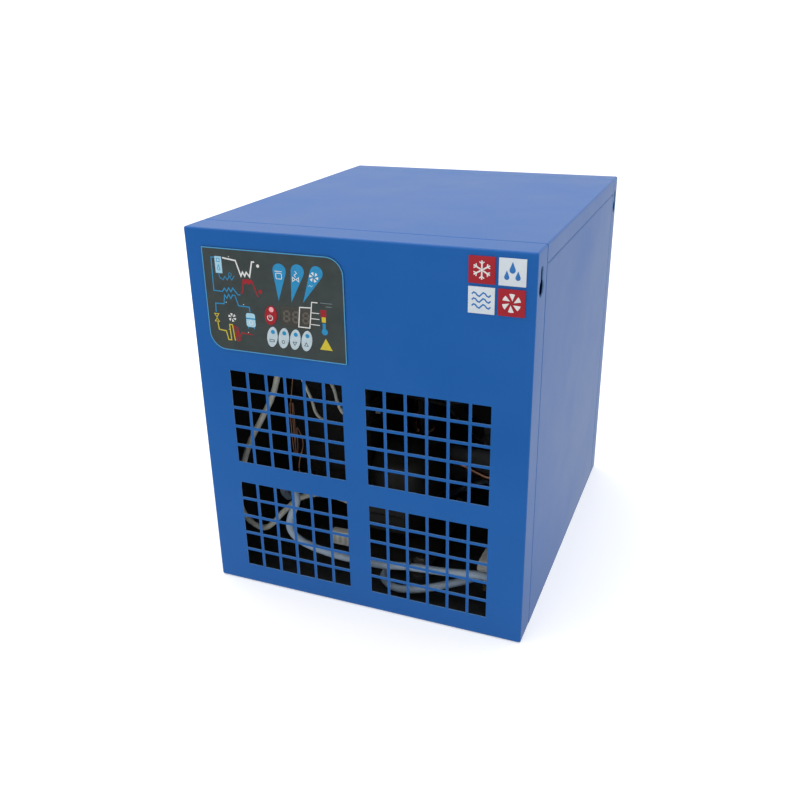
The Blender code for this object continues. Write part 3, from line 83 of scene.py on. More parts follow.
WELD, FINE_WELD = 2e-6, 5e-7
X, Y, Z = 0, 1, 2


# ---------------------------------------------------------------- what a user would change
class DryerSizes(bpy.types.PropertyGroup):
    sheet: bpy.props.FloatProperty(
        name="Sheet", description="Thickness of the painted sheet", default=0.0012, unit="LENGTH")
    bend: bpy.props.FloatProperty(
        name="Bend", description="Outer radius of the folds", default=0.0022, unit="LENGTH")
    hole: bpy.props.FloatProperty(
        name="Hole", description="Side of a square punch in the grilles", default=0.0197,
        unit="LENGTH")
    bar: bpy.props.FloatProperty(
        name="Bar", description="Width of the bars between punches", default=0.003, unit="LENGTH")
    front_columns: bpy.props.IntProperty(
        name="Front columns", description="Punches across the front grille", default=13, min=3)
    front_rows: bpy.props.IntProperty(
        name="Front rows", description="Punches up the front grille", default=11, min=3)
    rear_count: bpy.props.IntProperty(
        name="Rear punches", description="Punches across and up the rear grille", default=8, min=2)
    front_margin: bpy.props.FloatProperty(
        name="Grille margin", description="Floor to the lowest row of punches", default=0.0236,
        unit="LENGTH")
    fin_pitch: bpy.props.FloatProperty(
        name="Fin pitch", description="Spacing of the condenser fins", default=0.0021,
        unit="LENGTH")
    fin: bpy.props.FloatProperty(
        name="Fin", description="Thickness of a condenser fin", default=0.00022, unit="LENGTH")
    blades: bpy.props.IntProperty(
        name="Blades", description="Blades of the condenser fan", default=5, min=2)


class DryerFinishes(bpy.types.PropertyGroup):
    paint: bpy.props.FloatVectorProperty(
        name="Cabinet", description="Powder coat of the cabinet", subtype="COLOR",
        default=(0.001, 0.108, 0.406))
    film: bpy.props.FloatVectorProperty(
        name="Film", description="Ground of the control film", subtype="COLOR",
        default=(0.046, 0.060, 0.060))
    hose: bpy.props.FloatVectorProperty(
        name="Hose", description="Condensate hoses", subtype="COLOR", default=(0.36, 0.46, 0.58))
    floor: bpy.props.FloatVectorProperty(
        name="Floor", description="Studio floor", subtype="COLOR", default=(0.90, 0.90, 0.90))
    key_light: bpy.props.FloatProperty(
        name="Overhead light", description="Power of the overhead softbox", default=23.0,
        unit="POWER")


# ---------------------------------------------------------------- shader helpers
def add(tree, kind, values=None, **settings):
    made = tree.nodes.new(kind)
    for name, value in settings.items():
        setattr(made, name, value)
    for name, value in (values or {}).items():
        made.inputs[name].default_value = value
    return made


def wire(*runs):
    """Link nodes: each run is a node, its output, another node and its input."""
    for node, output, other, place in runs:
        node.id_data.links.new(node.outputs[output], other.inputs[place])


def fill_mottle(tree, start, end):
    broad = add(tree, "ShaderNodeTexNoise", {"Detail": 4.0, "Roughness": 0.6})
    sharp = add(tree, "ShaderNodeMapRange", {"From Min": 0.34, "From Max": 0.66})
    wire((start, "Vector", broad, "Vector"), (start, "Scale", broad, "Scale"),
         (broad, "Fac", sharp, "Value"), (sharp, "Result", end, "Mask"))


def fill_peel(tree, start, end):
    """Low rounded bumps of a powder coat, with a finer grain on them."""
    ripple = add(tree, "ShaderNodeTexVoronoi", feature="SMOOTH_F1")
    fine = add(tree, "ShaderNodeTexNoise", {"Detail": 2.0})
    more = add(tree, "ShaderNodeMath", {1: 3.1}, operation="MULTIPLY")
    mix = add(tree, "ShaderNodeMath", {1: 0.35}, operation="MULTIPLY_ADD")
    wire((start, "Vector", ripple, "Vector"), (start, "Scale", ripple, "Scale"),
         (start, "Scale", more, 0), (start, "Vector", fine, "Vector"),
         (more, "Value", fine, "Scale"), (fine, "Fac", mix, 0), (ripple, "Distance", mix, 2),
         (mix, "Value", end, "Height"))


def fill_grain(tree, start, end):
    """Fine lines drawn out along one direction, as rolled, drawn or brushed metal has."""
    stretch = add(tree, "ShaderNodeVectorMath", operation="MULTIPLY")
    lines = add(tree, "ShaderNodeTexNoise", {"Scale": 1.0, "Detail": 3.0, "Roughness": 0.7})
    wire((start, "Vector", stretch, 0), (start, "Density", stretch, 1),
         (stretch, "Vector", lines, "Vector"), (lines, "Fac", end, "Mask"))


def fill_dust(tree, start, end):
    """Dust that has settled on what faces up, thinner in patches."""
    faces = add(tree, "ShaderNodeTexCoord")
    split = add(tree, "ShaderNodeSeparateXYZ")
    up = add(tree, "ShaderNodeMapRange", {"From Min": -0.2, "From Max": 0.9})
    patches = add(tree, "ShaderNodeTexNoise", {"Detail": 5.0, "Roughness": 0.65})
    both = add(tree, "ShaderNodeMath", operation="MULTIPLY")
    amount = add(tree, "ShaderNodeMath", operation="MULTIPLY", use_clamp=True)
    wire((faces, "Normal", split, "Vector"), (split, "Z", up, "Value"),
         (start, "Vector", patches, "Vector"), (start, "Scale", patches, "Scale"),
         (up, "Result", both, 0), (patches, "Fac", both, 1), (both, "Value", amount, 0),
         (start, "Amount", amount, 1), (amount, "Value", end, "Mask"))


VECTOR, FLOAT = "NodeSocketVector", "NodeSocketFloat"
GROUPS = {
    # what fills it, its inputs beside the vector, and its output
    "broad_mottle": (fill_mottle, {"Scale": (FLOAT, 20.0)}, "Mask"),
    "coat_peel": (fill_peel, {"Scale": (FLOAT, 500.0)}, "Height"),
    "drawn_grain": (fill_grain, {"Density": (VECTOR, (1.0, 1.0, 1.0))}, "Mask"),
    "settled_dust": (fill_dust, {"Scale": (FLOAT, 30.0), "Amount": (FLOAT, 0.5)}, "Mask"),
}


def group(name):
    """The shader node group of this name, made once."""
    found = bpy.data.node_groups.get(name)
    if found:
        return found
    fill, inputs, output = GROUPS[name]
    tree = bpy.data.node_groups.new(name, "ShaderNodeTree")
    new = tree.interface.new_socket
    new(name="Vector", in_out="INPUT", socket_type=VECTOR)
    for label, (kind, value) in inputs.items():
        new(name=label, in_out="INPUT", socket_type=kind).default_value = value
    new(name=output, in_out="OUTPUT", socket_type=FLOAT)
    fill(tree, tree.nodes.new("NodeGroupInput"), tree.nodes.new("NodeGroupOutput"))
    return tree


def placed_group(tree, name, vector, **values):
    used = add(tree, "ShaderNodeGroup", values, node_tree=group(name))
    tree.links.new(vector, used.inputs["Vector"])
    return used


def blend_colours(tree, mask, low, high):
    """A colour between two others, each an RGB triple or a socket, by a mask."""
    mix = add(tree, "ShaderNodeMix", data_type="RGBA", clamp_factor=True)
    tree.links.new(mask, mix.inputs["Factor"])
    for place, colour in ((6, low), (7, high)):
        if isinstance(colour, bpy.types.NodeSocket):
            tree.links.new(colour, mix.inputs[place])
        else:
            mix.inputs[place].default_value = (*colour, 1.0)
    return mix.outputs[2]


DUST = (0.24, 0.22, 0.19)


def finish(name, low, high, roughness, metallic=0.0, mottle=18.0, peel=0.0, peel_depth=0.00002,
           grain=None, grain_depth=0.00001, dust=0.0, specular=0.5, ior=1.45):
    """A procedural material. Colour runs between low and high, roughness over a pair."""
    found = bpy.data.materials.get(name)
    if found:
        return found
    made = bpy.data.materials.new(name)
    made.use_nodes = True
    tree = made.node_tree
    shader = tree.nodes["Principled BSDF"]
    shader.inputs["Metallic"].default_value = metallic
    shader.inputs["Specular IOR Level"].default_value = specular
    shader.inputs["IOR"].default_value = ior
    place = add(tree, "ShaderNodeTexCoord")
    mapping = add(tree, "ShaderNodeMapping")
    wire((place, "Object", mapping, "Vector"))
    vector = mapping.outputs["Vector"]
    patches = placed_group(tree, "broad_mottle", vector, Scale=mottle)
    colour = blend_colours(tree, patches.outputs["Mask"], low, high)
    rough_from = patches.outputs["Mask"]
    height = None
    depth = peel_depth
    if peel:
        ripple = placed_group(tree, "coat_peel", vector, Scale=peel)
        height = ripple.outputs["Height"]
    if grain:
        lines = placed_group(tree, "drawn_grain", vector, Density=grain)
        rough_from = lines.outputs["Mask"]
        depth = grain_depth if not peel else peel_depth
        if height is None:
            height = lines.outputs["Mask"]
        colour = blend_colours(tree, lines.outputs["Mask"], colour, high)
    spread = add(tree, "ShaderNodeMapRange", {"To Min": roughness[0], "To Max": roughness[1]})
    tree.links.new(rough_from, spread.inputs["Value"])
    rough = spread.outputs["Result"]
    if dust:
        settled = placed_group(tree, "settled_dust", vector, Scale=26.0, Amount=dust)
        colour = blend_colours(tree, settled.outputs["Mask"], colour, DUST)
        duller = add(tree, "ShaderNodeMath", {1: 0.4, 2: 0.0}, operation="MULTIPLY_ADD",
                     use_clamp=True)
        wire((settled, "Mask", duller, 0))
        tree.links.new(rough, duller.inputs[2])
        rough = duller.outputs["Value"]
    tree.links.new(colour, shader.inputs["Base Color"])
    tree.links.new(rough, shader.inputs["Roughness"])
    if height is not None:
        bump = add(tree, "ShaderNodeBump", {"Strength": 1.0, "Distance": depth})
        tree.links.new(height, bump.inputs["Height"])
        wire((bump, "Normal", shader, "Normal"))
    return made


def shade(colour, factor):
    return tuple(min(1.0, part * factor) for part in colour)


# ---------------------------------------------------------------- the dryer's finishes
def cabinet_paint():
    paint = tuple(bpy.context.scene.dryer_finishes.paint)
    return finish("cabinet_powder_coat", shade(paint, 0.97), shade(paint, 1.04), (0.30, 0.36),
                  mottle=7.0, peel=900.0, peel_depth=0.0000045, specular=0.42, ior=1.5)


def film_ground():
    film = tuple(bpy.context.scene.dryer_finishes.film)
    return finish("control_film", shade(film, 0.92), shade(film, 1.08), (0.42, 0.52), mottle=60.0,
                  peel=2600.0, peel_depth=0.000006, specular=0.4)


def hose_plastic():
    hose = tuple(bpy.context.scene.dryer_finishes.hose)
    return finish("hose_nylon", shade(hose, 0.72), shade(hose, 1.08), (0.26, 0.40), mottle=36.0,
                  grain=(90.0, 700.0, 700.0), grain_depth=0.00001, specular=0.5, dust=0.25)


def ink(name, colour):
    return finish(name, shade(colour, 0.93), shade(colour, 1.05), (0.40, 0.50), mottle=300.0,
                  peel=2600.0, peel_depth=0.000005, specular=0.4)


# Painted highlight: a lighter blue on punched and cut edges, standing in for the light they catch.
painted_highlight_edge_paint = partial(finish, "painted_highlight_edge_coat", (0.120, 0.270, 0.540), (0.170, 0.330, 0.600),
    (0.30, 0.40), mottle=240.0, peel=900.0, peel_depth=0.0000045, specular=0.5, ior=1.5)
# Painted shade: near-black inner faces for the cover and side panels, standing in for the shade
# inside the cabinet.
painted_shade_lining = partial(finish, "painted_shade_lining", (0.004, 0.004, 0.005), (0.008, 0.008, 0.009),
    (0.8, 0.95), mottle=40.0, peel=420.0, peel_depth=0.0002, dust=0.05)
galvanised = partial(finish, "galvanised_sheet", (0.16, 0.17, 0.18), (0.30, 0.31, 0.32),
    (0.38, 0.56), 1.0, mottle=95.0, grain=(60.0, 900.0, 900.0), grain_depth=0.000004, dust=0.2)
# Painted shade: galvanised sheet darkened for the base tray, standing in for the shade on the
# cabinet's floor.
painted_shade_galvanised = partial(finish, "painted_shade_galvanised_sheet", (0.060, 0.064, 0.068),
    (0.120, 0.125, 0.130), (0.50, 0.68), 1.0, mottle=70.0, grain=(60.0, 900.0, 900.0),
    grain_depth=0.000004, dust=0.15)
zinc = partial(finish, "zinc_plate", (0.50, 0.50, 0.47), (0.66, 0.65, 0.60), (0.22, 0.42), 1.0,
    mottle=160.0, grain=(1500.0, 300.0, 1500.0), grain_depth=0.000006)
sky_ink = partial(ink, "sky_blue_ink", (0.016, 0.262, 0.525))
pale_ink = partial(ink, "pale_blue_ink", (0.36, 0.62, 0.76))
faint_ink = partial(ink, "faint_ink", (0.16, 0.20, 0.21))
white_ink = partial(ink, "white_ink", (0.74, 0.75, 0.74))
key_ink = partial(ink, "key_ink", (0.035, 0.075, 0.110))
red_ink = partial(ink, "red_ink", (0.36, 0.012, 0.022))
yellow_ink = partial(ink, "yellow_ink", (0.62, 0.50, 0.035))
border_ink = partial(ink, "border_ink", (0.070, 0.330, 0.600))
lens_plastic = partial(finish, "smoked_lens", (0.052, 0.052, 0.046), (0.062, 0.062, 0.056),
    (0.20, 0.28), mottle=90.0, grain=(2400.0, 300.0, 300.0), grain_depth=0.000001, specular=0.5)
unlit_segment = partial(finish, "unlit_segment", (0.105, 0.092, 0.074), (0.135, 0.119, 0.097),
    (0.4, 0.5), mottle=500.0)
red_key = partial(finish, "red_key_cap", (0.340, 0.003, 0.012), (0.400, 0.005, 0.018),
    (0.46, 0.56), mottle=260.0, peel=2600.0, peel_depth=0.000005)
indicator = partial(finish, "indicator_lens", (0.82, 0.36, 0.40), (0.92, 0.50, 0.52), (0.22, 0.30),
    mottle=420.0, peel=2600.0, peel_depth=0.000004)
white_key = partial(finish, "white_key_cap", (0.45, 0.55, 0.61), (0.52, 0.63, 0.69), (0.46, 0.56),
    mottle=260.0, peel=2600.0, peel_depth=0.000005)
white_plastic = partial(finish, "white_nylon", (0.60, 0.61, 0.57), (0.72, 0.73, 0.69),
    (0.40, 0.55), mottle=110.0, peel=1600.0, peel_depth=0.00001, dust=0.5)
black_plastic = partial(finish, "black_moulding", (0.010, 0.010, 0.011), (0.018, 0.018, 0.019),
    (0.42, 0.58), mottle=130.0, peel=1700.0, peel_depth=0.000016, dust=0.12)
black_paint = partial(finish, "black_enamel", (0.006, 0.006, 0.006), (0.012, 0.012, 0.011),
    (0.30, 0.46), mottle=34.0, peel=520.0, peel_depth=0.00003, dust=0.12, specular=0.4)
rubber = partial(finish, "grommet_rubber", (0.014, 0.014, 0.014), (0.024, 0.024, 0.023),
    (0.72, 0.9), mottle=150.0, peel=1300.0, peel_depth=0.00005, dust=0.4)
foam = partial(finish, "pipe_foam", (0.008, 0.008, 0.008), (0.018, 0.018, 0.018), (0.85, 1.0),
    mottle=60.0, peel=650.0, peel_depth=0.00035, dust=0.25)
fins = partial(finish, "aluminium_fin", (0.50, 0.51, 0.53), (0.66, 0.67, 0.69), (0.34, 0.5), 1.0,
    mottle=70.0, grain=(200.0, 200.0, 1600.0), grain_depth=0.000005, dust=0.3)
brass = partial(finish, "turned_brass", (0.48, 0.33, 0.12), (0.66, 0.48, 0.20), (0.20, 0.36), 1.0,
    mottle=85.0, grain=(240.0, 2600.0, 240.0), grain_depth=0.000006)
copper = partial(finish, "drawn_copper", (0.56, 0.27, 0.16), (0.86, 0.47, 0.32), (0.26, 0.42), 1.0,
    mottle=75.0, grain=(420.0, 420.0, 420.0), grain_depth=0.000005)
cable_sheath = partial(finish, "cable_sheath", (0.40, 0.41, 0.36), (0.56, 0.56, 0.49),
    (0.42, 0.58), mottle=60.0, peel=1500.0, peel_depth=0.00002, dust=0.3)
board_lacquer = partial(finish, "board_lacquer", (0.010, 0.075, 0.030), (0.020, 0.130, 0.052),
    (0.28, 0.42), mottle=240.0, grain=(900.0, 900.0, 120.0), grain_depth=0.00003)
badge_silver = partial(finish, "badge_silver", (0.58, 0.64, 0.70), (0.66, 0.72, 0.78),
    (0.40, 0.52), 0.0, mottle=120.0, grain=(150.0, 150.0, 2400.0), grain_depth=0.000003)
badge_red = partial(finish, "badge_red", (0.34, 0.002, 0.012), (0.39, 0.003, 0.017), (0.46, 0.58),
    mottle=120.0, grain=(150.0, 150.0, 2400.0), grain_depth=0.000002)
badge_blue = partial(ink, "badge_blue", (0.025, 0.170, 0.480))


def floor_paper():
    """White paper, lit up for the camera, and dimmer in reflections ahead of the cabinet."""
    floor = tuple(bpy.context.scene.dryer_finishes.floor)
    made = finish("studio_paper", shade(floor, 0.995), floor, (0.85, 0.95), mottle=2.0, peel=600.0,
                  peel_depth=0.00003, specular=0.1)
    tree = made.node_tree
    shader, end = tree.nodes["Principled BSDF"], tree.nodes["Material Output"]
    glow = add(tree, "ShaderNodeEmission")
    seen = add(tree, "ShaderNodeAddShader")
    mirrored = add(tree, "ShaderNodeEmission")
    choose = add(tree, "ShaderNodeMixShader")
    direct = add(tree, "ShaderNodeMixShader")
    rays = add(tree, "ShaderNodeLightPath")
    place = add(tree, "ShaderNodeTexCoord")
    split = add(tree, "ShaderNodeSeparateXYZ")
    ahead = add(tree, "ShaderNodeMapRange", {"From Min": -0.75, "From Max": 0.15, "To Min": 0.12,
                                             "To Max": 0.76}, interpolation_type="SMOOTHSTEP")
    glow.inputs["Strength"].default_value = 0.34
    wire((place, "Object", split, "Vector"), (split, "Y", ahead, "Value"),
         (ahead, "Result", mirrored, "Strength"), (shader, "BSDF", seen, 0),
         (glow, "Emission", seen, 1), (rays, "Is Camera Ray", direct, "Fac"),
         (shader, "BSDF", direct, 1), (seen, "Shader", direct, 2),
         (rays, "Is Glossy Ray", choose, "Fac"), (direct, "Shader", choose, 1),
         (mirrored, "Emission", choose, 2), (choose, "Shader", end, "Surface"))
    return made


# ---------------------------------------------------------------- making pieces
class Work:
    """A piece under way: its shapes, put together in one mesh with a finish each."""

    def __init__(self, name):
        self.name = name
        self.shape = bmesh.new()
        self.finishes = []

    def take(self, shape, material):
        """Add a bmesh in this finish, and free it."""
        if material not in self.finishes:
            self.finishes.append(material)
        mesh = bpy.data.meshes.new(self.name + "_part")
        shape.to_mesh(mesh)
        shape.free()
        mesh.polygons.foreach_set("material_index",
                                  [self.finishes.index(material)] * len(mesh.polygons))
        self.shape.from_mesh(mesh)
        bpy.data.meshes.remove(mesh)
        return self

    def done(self, body, slot, *nodes, sharpest=38):
        """Finish the piece: link it, let it ride on its body and stand for its nodes."""
        mesh = bpy.data.meshes.new(self.name)
        self.shape.to_mesh(mesh)
        self.shape.free()
        for material in self.finishes:
            mesh.materials.append(material)
        mesh.shade_smooth()
        mesh.set_sharp_from_angle(angle=math.radians(sharpest))
        piece = bpy.data.objects.new(self.name, mesh)
        bpy.context.scene.collection.objects.link(piece)
        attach(piece, body)
        if nodes:
            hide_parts(*nodes)
        return piece


def closed(shape, merge=WELD):
    """Weld doubles and turn the faces outwards."""
    bmesh.ops.remove_doubles(shape, verts=shape.verts, dist=merge)
    bmesh.ops.recalc_face_normals(shape, faces=shape.faces)
    return shape


def span(node):
    """The corners of a node's box, and its middle."""
    low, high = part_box(node)
    return low, high, (low + high) / 2


def bevelled(shape, edges, offset, segments):
    bmesh.ops.bevel(shape, geom=edges, offset=offset, offset_type="OFFSET", segments=segments,
                    profile=0.5, affect="EDGES", material=-1)


def drawn_out(shape, made, away):
    """Move what an extrusion made."""
    moved = [item for item in made["geom"] if isinstance(item, bmesh.types.BMVert)]
    bmesh.ops.translate(shape, verts=moved, vec=away)


def turned(shape, place, angle):
    """Turn a shape about the Y axis, and move its origin to a place."""
    matrix = Matrix.Translation(place) @ Matrix.Rotation(angle, 4, "Y")
    bmesh.ops.transform(shape, matrix=matrix, verts=shape.verts)
    return shape


def block(low, high, edge=0.0, segments=3):
    """A block between two corners with rounded edges."""
    low, high = Vector(low), Vector(high)
    place = Matrix.Translation((low + high) / 2) @ Matrix.Diagonal((*(high - low), 1.0))
    shape = bmesh.new()
    bmesh.ops.create_cube(shape, size=1.0, matrix=place)
    if edge:
        bevelled(shape, shape.edges, edge, segments)
    return shape


TO_AXIS = {"X": Matrix.Rotation(math.pi / 2, 4, "Y"), "Y": Matrix.Rotation(-math.pi / 2, 4, "X"),
           "Z": Matrix.Identity(4)}


def lathe(profile, place, axis="Z", steps=48, squeeze=1.0):
    """A turned shape from (radius, height) points, its heights running along the axis."""
    shape = bmesh.new()
    row = [shape.verts.new((radius, 0.0, height)) for radius, height in profile]
    edges = [shape.edges.new(pair) for pair in zip(row, row[1:])]
    bmesh.ops.spin(shape, geom=row + edges, cent=(0, 0, 0), axis=(0, 0, 1), angle=2 * math.pi,
                   steps=steps, use_merge=True)
    closed(shape)
    bmesh.ops.scale(shape, vec=(squeeze, 1.0, 1.0), verts=shape.verts)
    bmesh.ops.transform(shape, matrix=Matrix.Translation(place) @ TO_AXIS[axis], verts=shape.verts)
    return shape


def rounded(profile, radius, steps=3):
    """The same outline with its inner corners replaced by small arcs."""
    found = [profile[0]]
    for before, corner, after in zip(profile, profile[1:], profile[2:]):
        here = Vector(corner)
        back, on = Vector(before) - here, Vector(after) - here
        reach = min(radius, back.length * 0.45, on.length * 0.45)
        start = here + back.normalized() * reach
        end = here + on.normalized() * reach
        for i in range(steps + 1):
            t = i / steps
            found.append(tuple((1 - t) ** 2 * start + 2 * t * (1 - t) * here + t * t * end))
    return [*found, profile[-1]]


def smooth_path(points, spacing):
    """Points along a smooth curve through the given ones."""
    pts = [Vector(p) for p in points]
    pts = [2 * pts[0] - pts[1], *pts, 2 * pts[-1] - pts[-2]]
    found = []
    for a, b, c, d in zip(pts, pts[1:], pts[2:], pts[3:]):
        count = max(1, round((c - b).length / spacing))
        for i in range(count):
            t = i / count
            found.append(0.5 * (2 * b + (c - a) * t + (2 * a - 5 * b + 4 * c - d) * t * t
                                + (3 * b - a - 3 * c + d) * t ** 3))
    return [*found, pts[-2]]


def curve_mesh(curve):
    """The curve as a bmesh, and the curve itself removed."""
    holder = bpy.data.objects.new(curve.name, curve)
    bpy.context.scene.collection.objects.link(holder)
    graph = bpy.context.evaluated_depsgraph_get()
    mesh = bpy.data.meshes.new_from_object(holder.evaluated_get(graph))
    shape = bmesh.new()
    shape.from_mesh(mesh)
    bpy.data.objects.remove(holder)
    bpy.data.curves.remove(curve)
    bpy.data.meshes.remove(mesh)
    return shape


def pipe(points, radius, spacing=None, resolution=4):
    """A round tube or cable along a smooth path."""
    curve = bpy.data.curves.new("path", "CURVE")
    curve.dimensions = "3D"
    curve.bevel_depth = radius
    curve.bevel_resolution = resolution
    curve.use_fill_caps = True
    path = smooth_path(points, spacing or 1.2 * radius)
    spline = curve.splines.new("POLY")
    spline.points.add(len(path) - 1)
    for point, place in zip(spline.points, path):
        point.co = (*place, 1.0)
    return closed(curve_mesh(curve))


def mark(loops, back, front):
    """A flat printed or cut shape on the front: loops of (x, z) points, later ones holes."""
    curve = bpy.data.curves.new("mark", "CURVE")
    curve.dimensions = "2D"
    curve.fill_mode = "BOTH"
    curve.extrude = abs(back - front) / 2
    for loop in loops:
        spline = curve.splines.new("POLY")
        spline.points.add(len(loop) - 1)
        spline.use_cyclic_u = True
        for point, (x, z) in zip(spline.points, loop):
            point.co = (x, z, 0.0, 1.0)
    shape = curve_mesh(curve)
    place = Matrix.Translation((0, (back + front) / 2, 0)) @ Matrix.Rotation(math.pi / 2, 4, "X")
    bmesh.ops.transform(shape, matrix=place, verts=shape.verts)
    return closed(shape, FINE_WELD)


def stroke(points, width, front, closed_loop=False):
    """A printed line of even width through (x, z) points, lying on the film."""
    path = [Vector(point) for point in points]
    count = len(path)
    half = width / 2
    sides = []
    for i, point in enumerate(path):
        before = point - path[i - 1] if i or closed_loop else path[1] - path[0]
        after = path[(i + 1) % count] - point if i < count - 1 or closed_loop else before
        before, after = before.normalized(), after.normalized()
        across = Vector((-before.y - after.y, before.x + after.x)).normalized()
        reach = half / max(0.4, across.dot(Vector((-before.y, before.x))))
        sides.append((point + across * reach, point - across * reach))
    shape = bmesh.new()
    corners = [[shape.verts.new((spot.x, front + PRINT, spot.y)) for spot in pair]
               for pair in sides]
    for i in range(count if closed_loop else count - 1):
        (a, b), (c, d) = corners[i], corners[(i + 1) % count]
        shape.faces.new((a, b, d, c))
    drawn_out(shape, bmesh.ops.extrude_face_region(shape, geom=shape.faces[:]),
              (0, -2 * PRINT, 0))
    return closed(shape, FINE_WELD)


def arc(centre, radius, start, end, count):
    """Points on part of a circle, by angles in degrees."""
    return [(centre[0] + radius * math.cos(math.radians(start + (end - start) * i / count)),
             centre[1] + radius * math.sin(math.radians(start + (end - start) * i / count)))
            for i in range(count + 1)]


def ring(centre, radius, count=28):
    return arc(centre, radius, 0, 360, count)[:-1]


def oval(centre, half_width, half_height, tilt, count=48):
    """An upright ellipse leaning to the right by `tilt`."""
    found = []
    for i in range(count):
        a = 2 * math.pi * i / count
        u, v = half_width * math.cos(a), half_height * math.sin(a)
        found.append((centre[0] + u * math.cos(tilt) + v * math.sin(tilt),
                      centre[1] - u * math.sin(tilt) + v * math.cos(tilt)))
    return found


def rectangle(left, low, right, top):
    return [(left, low), (right, low), (right, top), (left, top)]


def corner_rectangle(left, low, right, top, radii, count=10):
    """A rectangle whose corners, from the lower left round, have these radii."""
    middles = [(left, low, 1, 1, 180), (right, low, -1, 1, 270), (right, top, -1, -1, 0),
               (left, top, 1, -1, 90)]
    found = []
    for (x, z, dx, dz, start), radius in zip(middles, radii):
        if radius:
            found += arc((x + dx * radius, z + dz * radius), radius, start, start + 90, count)
        else:
            found.append((x, z))
    return found


def millimetres(points):
    return [(x / 1000, z / 1000) for x, z in points]


# ---------------------------------------------------------------- folded and punched sheet
def folded_sheet(low, high, open_sides, bend, segments=5):
    """A folded pan between two corners without the named sides, its folds rounded."""
    shape = block(low, high)
    shape.normal_update()
    wanted = {"XYZ".index(side[1]) * 2 + (side[0] == "+") for side in open_sides}
    gone = []
    for face in shape.faces:
        axis = max(range(3), key=lambda k: abs(face.normal[k]))
        if axis * 2 + (face.normal[axis] > 0) in wanted:
            gone.append(face)
    bmesh.ops.delete(shape, geom=gone, context="FACES")
    folds = [edge for edge in shape.edges if len(edge.link_faces) == 2]
    bevelled(shape, folds, bend, segments)
    return shape


def wall(shape, axis, level, spans=None):
    """Faces of a flat wall whose middles lie within the spans, {axis: (low, high)}."""
    found = []
    for face in shape.faces:
        if all(abs(vertex.co[axis] - level) < NEAR for vertex in face.verts):
            middle = face.calc_center_bounds()
            if all(low < middle[k] < high for k, (low, high) in (spans or {}).items()):
                found.append(face)
    return found


def score(shape, axis, level, along, places, spans=None):
    """Cut a flat wall straight across at these places."""
    normal, point = Vector((0, 0, 0)), Vector((0, 0, 0))
    normal[along] = 1.0
    for place in places:
        point[along] = place
        geometry = set()
        for face in wall(shape, axis, level, spans):
            reach = [vertex.co[along] for vertex in face.verts]
            if min(reach) < place - NEAR and max(reach) > place + NEAR:
                geometry.update([face, *face.edges, *face.verts])
        if geometry:
            bmesh.ops.bisect_plane(shape, geom=list(geometry), dist=NEAR, plane_co=point,
                                   plane_no=normal)


def open_hole(shape, axis, level, loop, margin=0.002):
    """Cut an opening of this outline, (u, v) points, in a flat wall. Gives its edges."""
    across, up = [k for k in range(3) if k != axis]
    u = [point[0] for point in loop]
    v = [point[1] for point in loop]
    sides = {across: (min(u) - margin, max(u) + margin), up: (min(v) - margin, max(v) + margin)}
    score(shape, axis, level, across, sides[across])
    score(shape, axis, level, up, sides[up], {across: sides[across]})
    cell = wall(shape, axis, level, sides)
    if not cell:
        raise RuntimeError("no wall to cut a hole in at %s" % (loop[0],))
    border = [edge for face in cell for edge in face.edges]
    border = [edge for edge in set(border) if border.count(edge) == 1]
    bmesh.ops.delete(shape, geom=cell, context="FACES")
    border = [edge for edge in border if edge.is_valid]
    corners = []
    for x, y in loop:
        place = [0.0, 0.0, 0.0]
        place[axis], place[across], place[up] = level, x, y
        corners.append(shape.verts.new(place))
    rim = [shape.edges.new(pair) for pair in zip(corners, corners[1:] + corners[:1])]
    bmesh.ops.triangle_fill(shape, edges=border + rim, use_beauty=True)
    return rim


def punch_grille(shape, level, centre, columns, rows, blank=(None, None)):
    """Square holes on a regular pitch in an upright wall; `blank` is a row and column left."""
    sizes = bpy.context.scene.dryer_sizes
    half, pitch = sizes.hole / 2, sizes.hole + sizes.bar

    def edges(middle, count, left):
        return [middle + (i - (count - 1) / 2) * pitch + side * half
                for i in range(count) if i != left for side in (-1, 1)]

    across = edges(centre[0], columns, blank[0])
    up = edges(centre[1], rows, blank[1])
    score(shape, Y, level, Z, up)
    score(shape, Y, level, X, across, {Z: (up[0], up[-1])})
    gone = []
    for face in wall(shape, Y, level, {X: (across[0], across[-1]), Z: (up[0], up[-1])}):
        middle = face.calc_center_bounds()
        column = (middle.x - centre[0]) / pitch + (columns - 1) / 2
        row = (middle.z - centre[1]) / pitch + (rows - 1) / 2
        if round(column) == blank[0] or round(row) == blank[1]:
            continue
        if abs(column - round(column)) * pitch < half and abs(row - round(row)) * pitch < half:
            gone.append(face)
    bmesh.ops.delete(shape, geom=gone, context="FACES")


def facing_out(shape, axis, level):
    """Turn the sheet so that this wall faces away from the cabinet's middle."""
    bmesh.ops.recalc_face_normals(shape, faces=shape.faces)
    shape.normal_update()
    found = max(wall(shape, axis, level), key=lambda face: face.calc_area())
    if found.normal[axis] * level < 0:
        bmesh.ops.reverse_faces(shape, faces=shape.faces)
    return shape


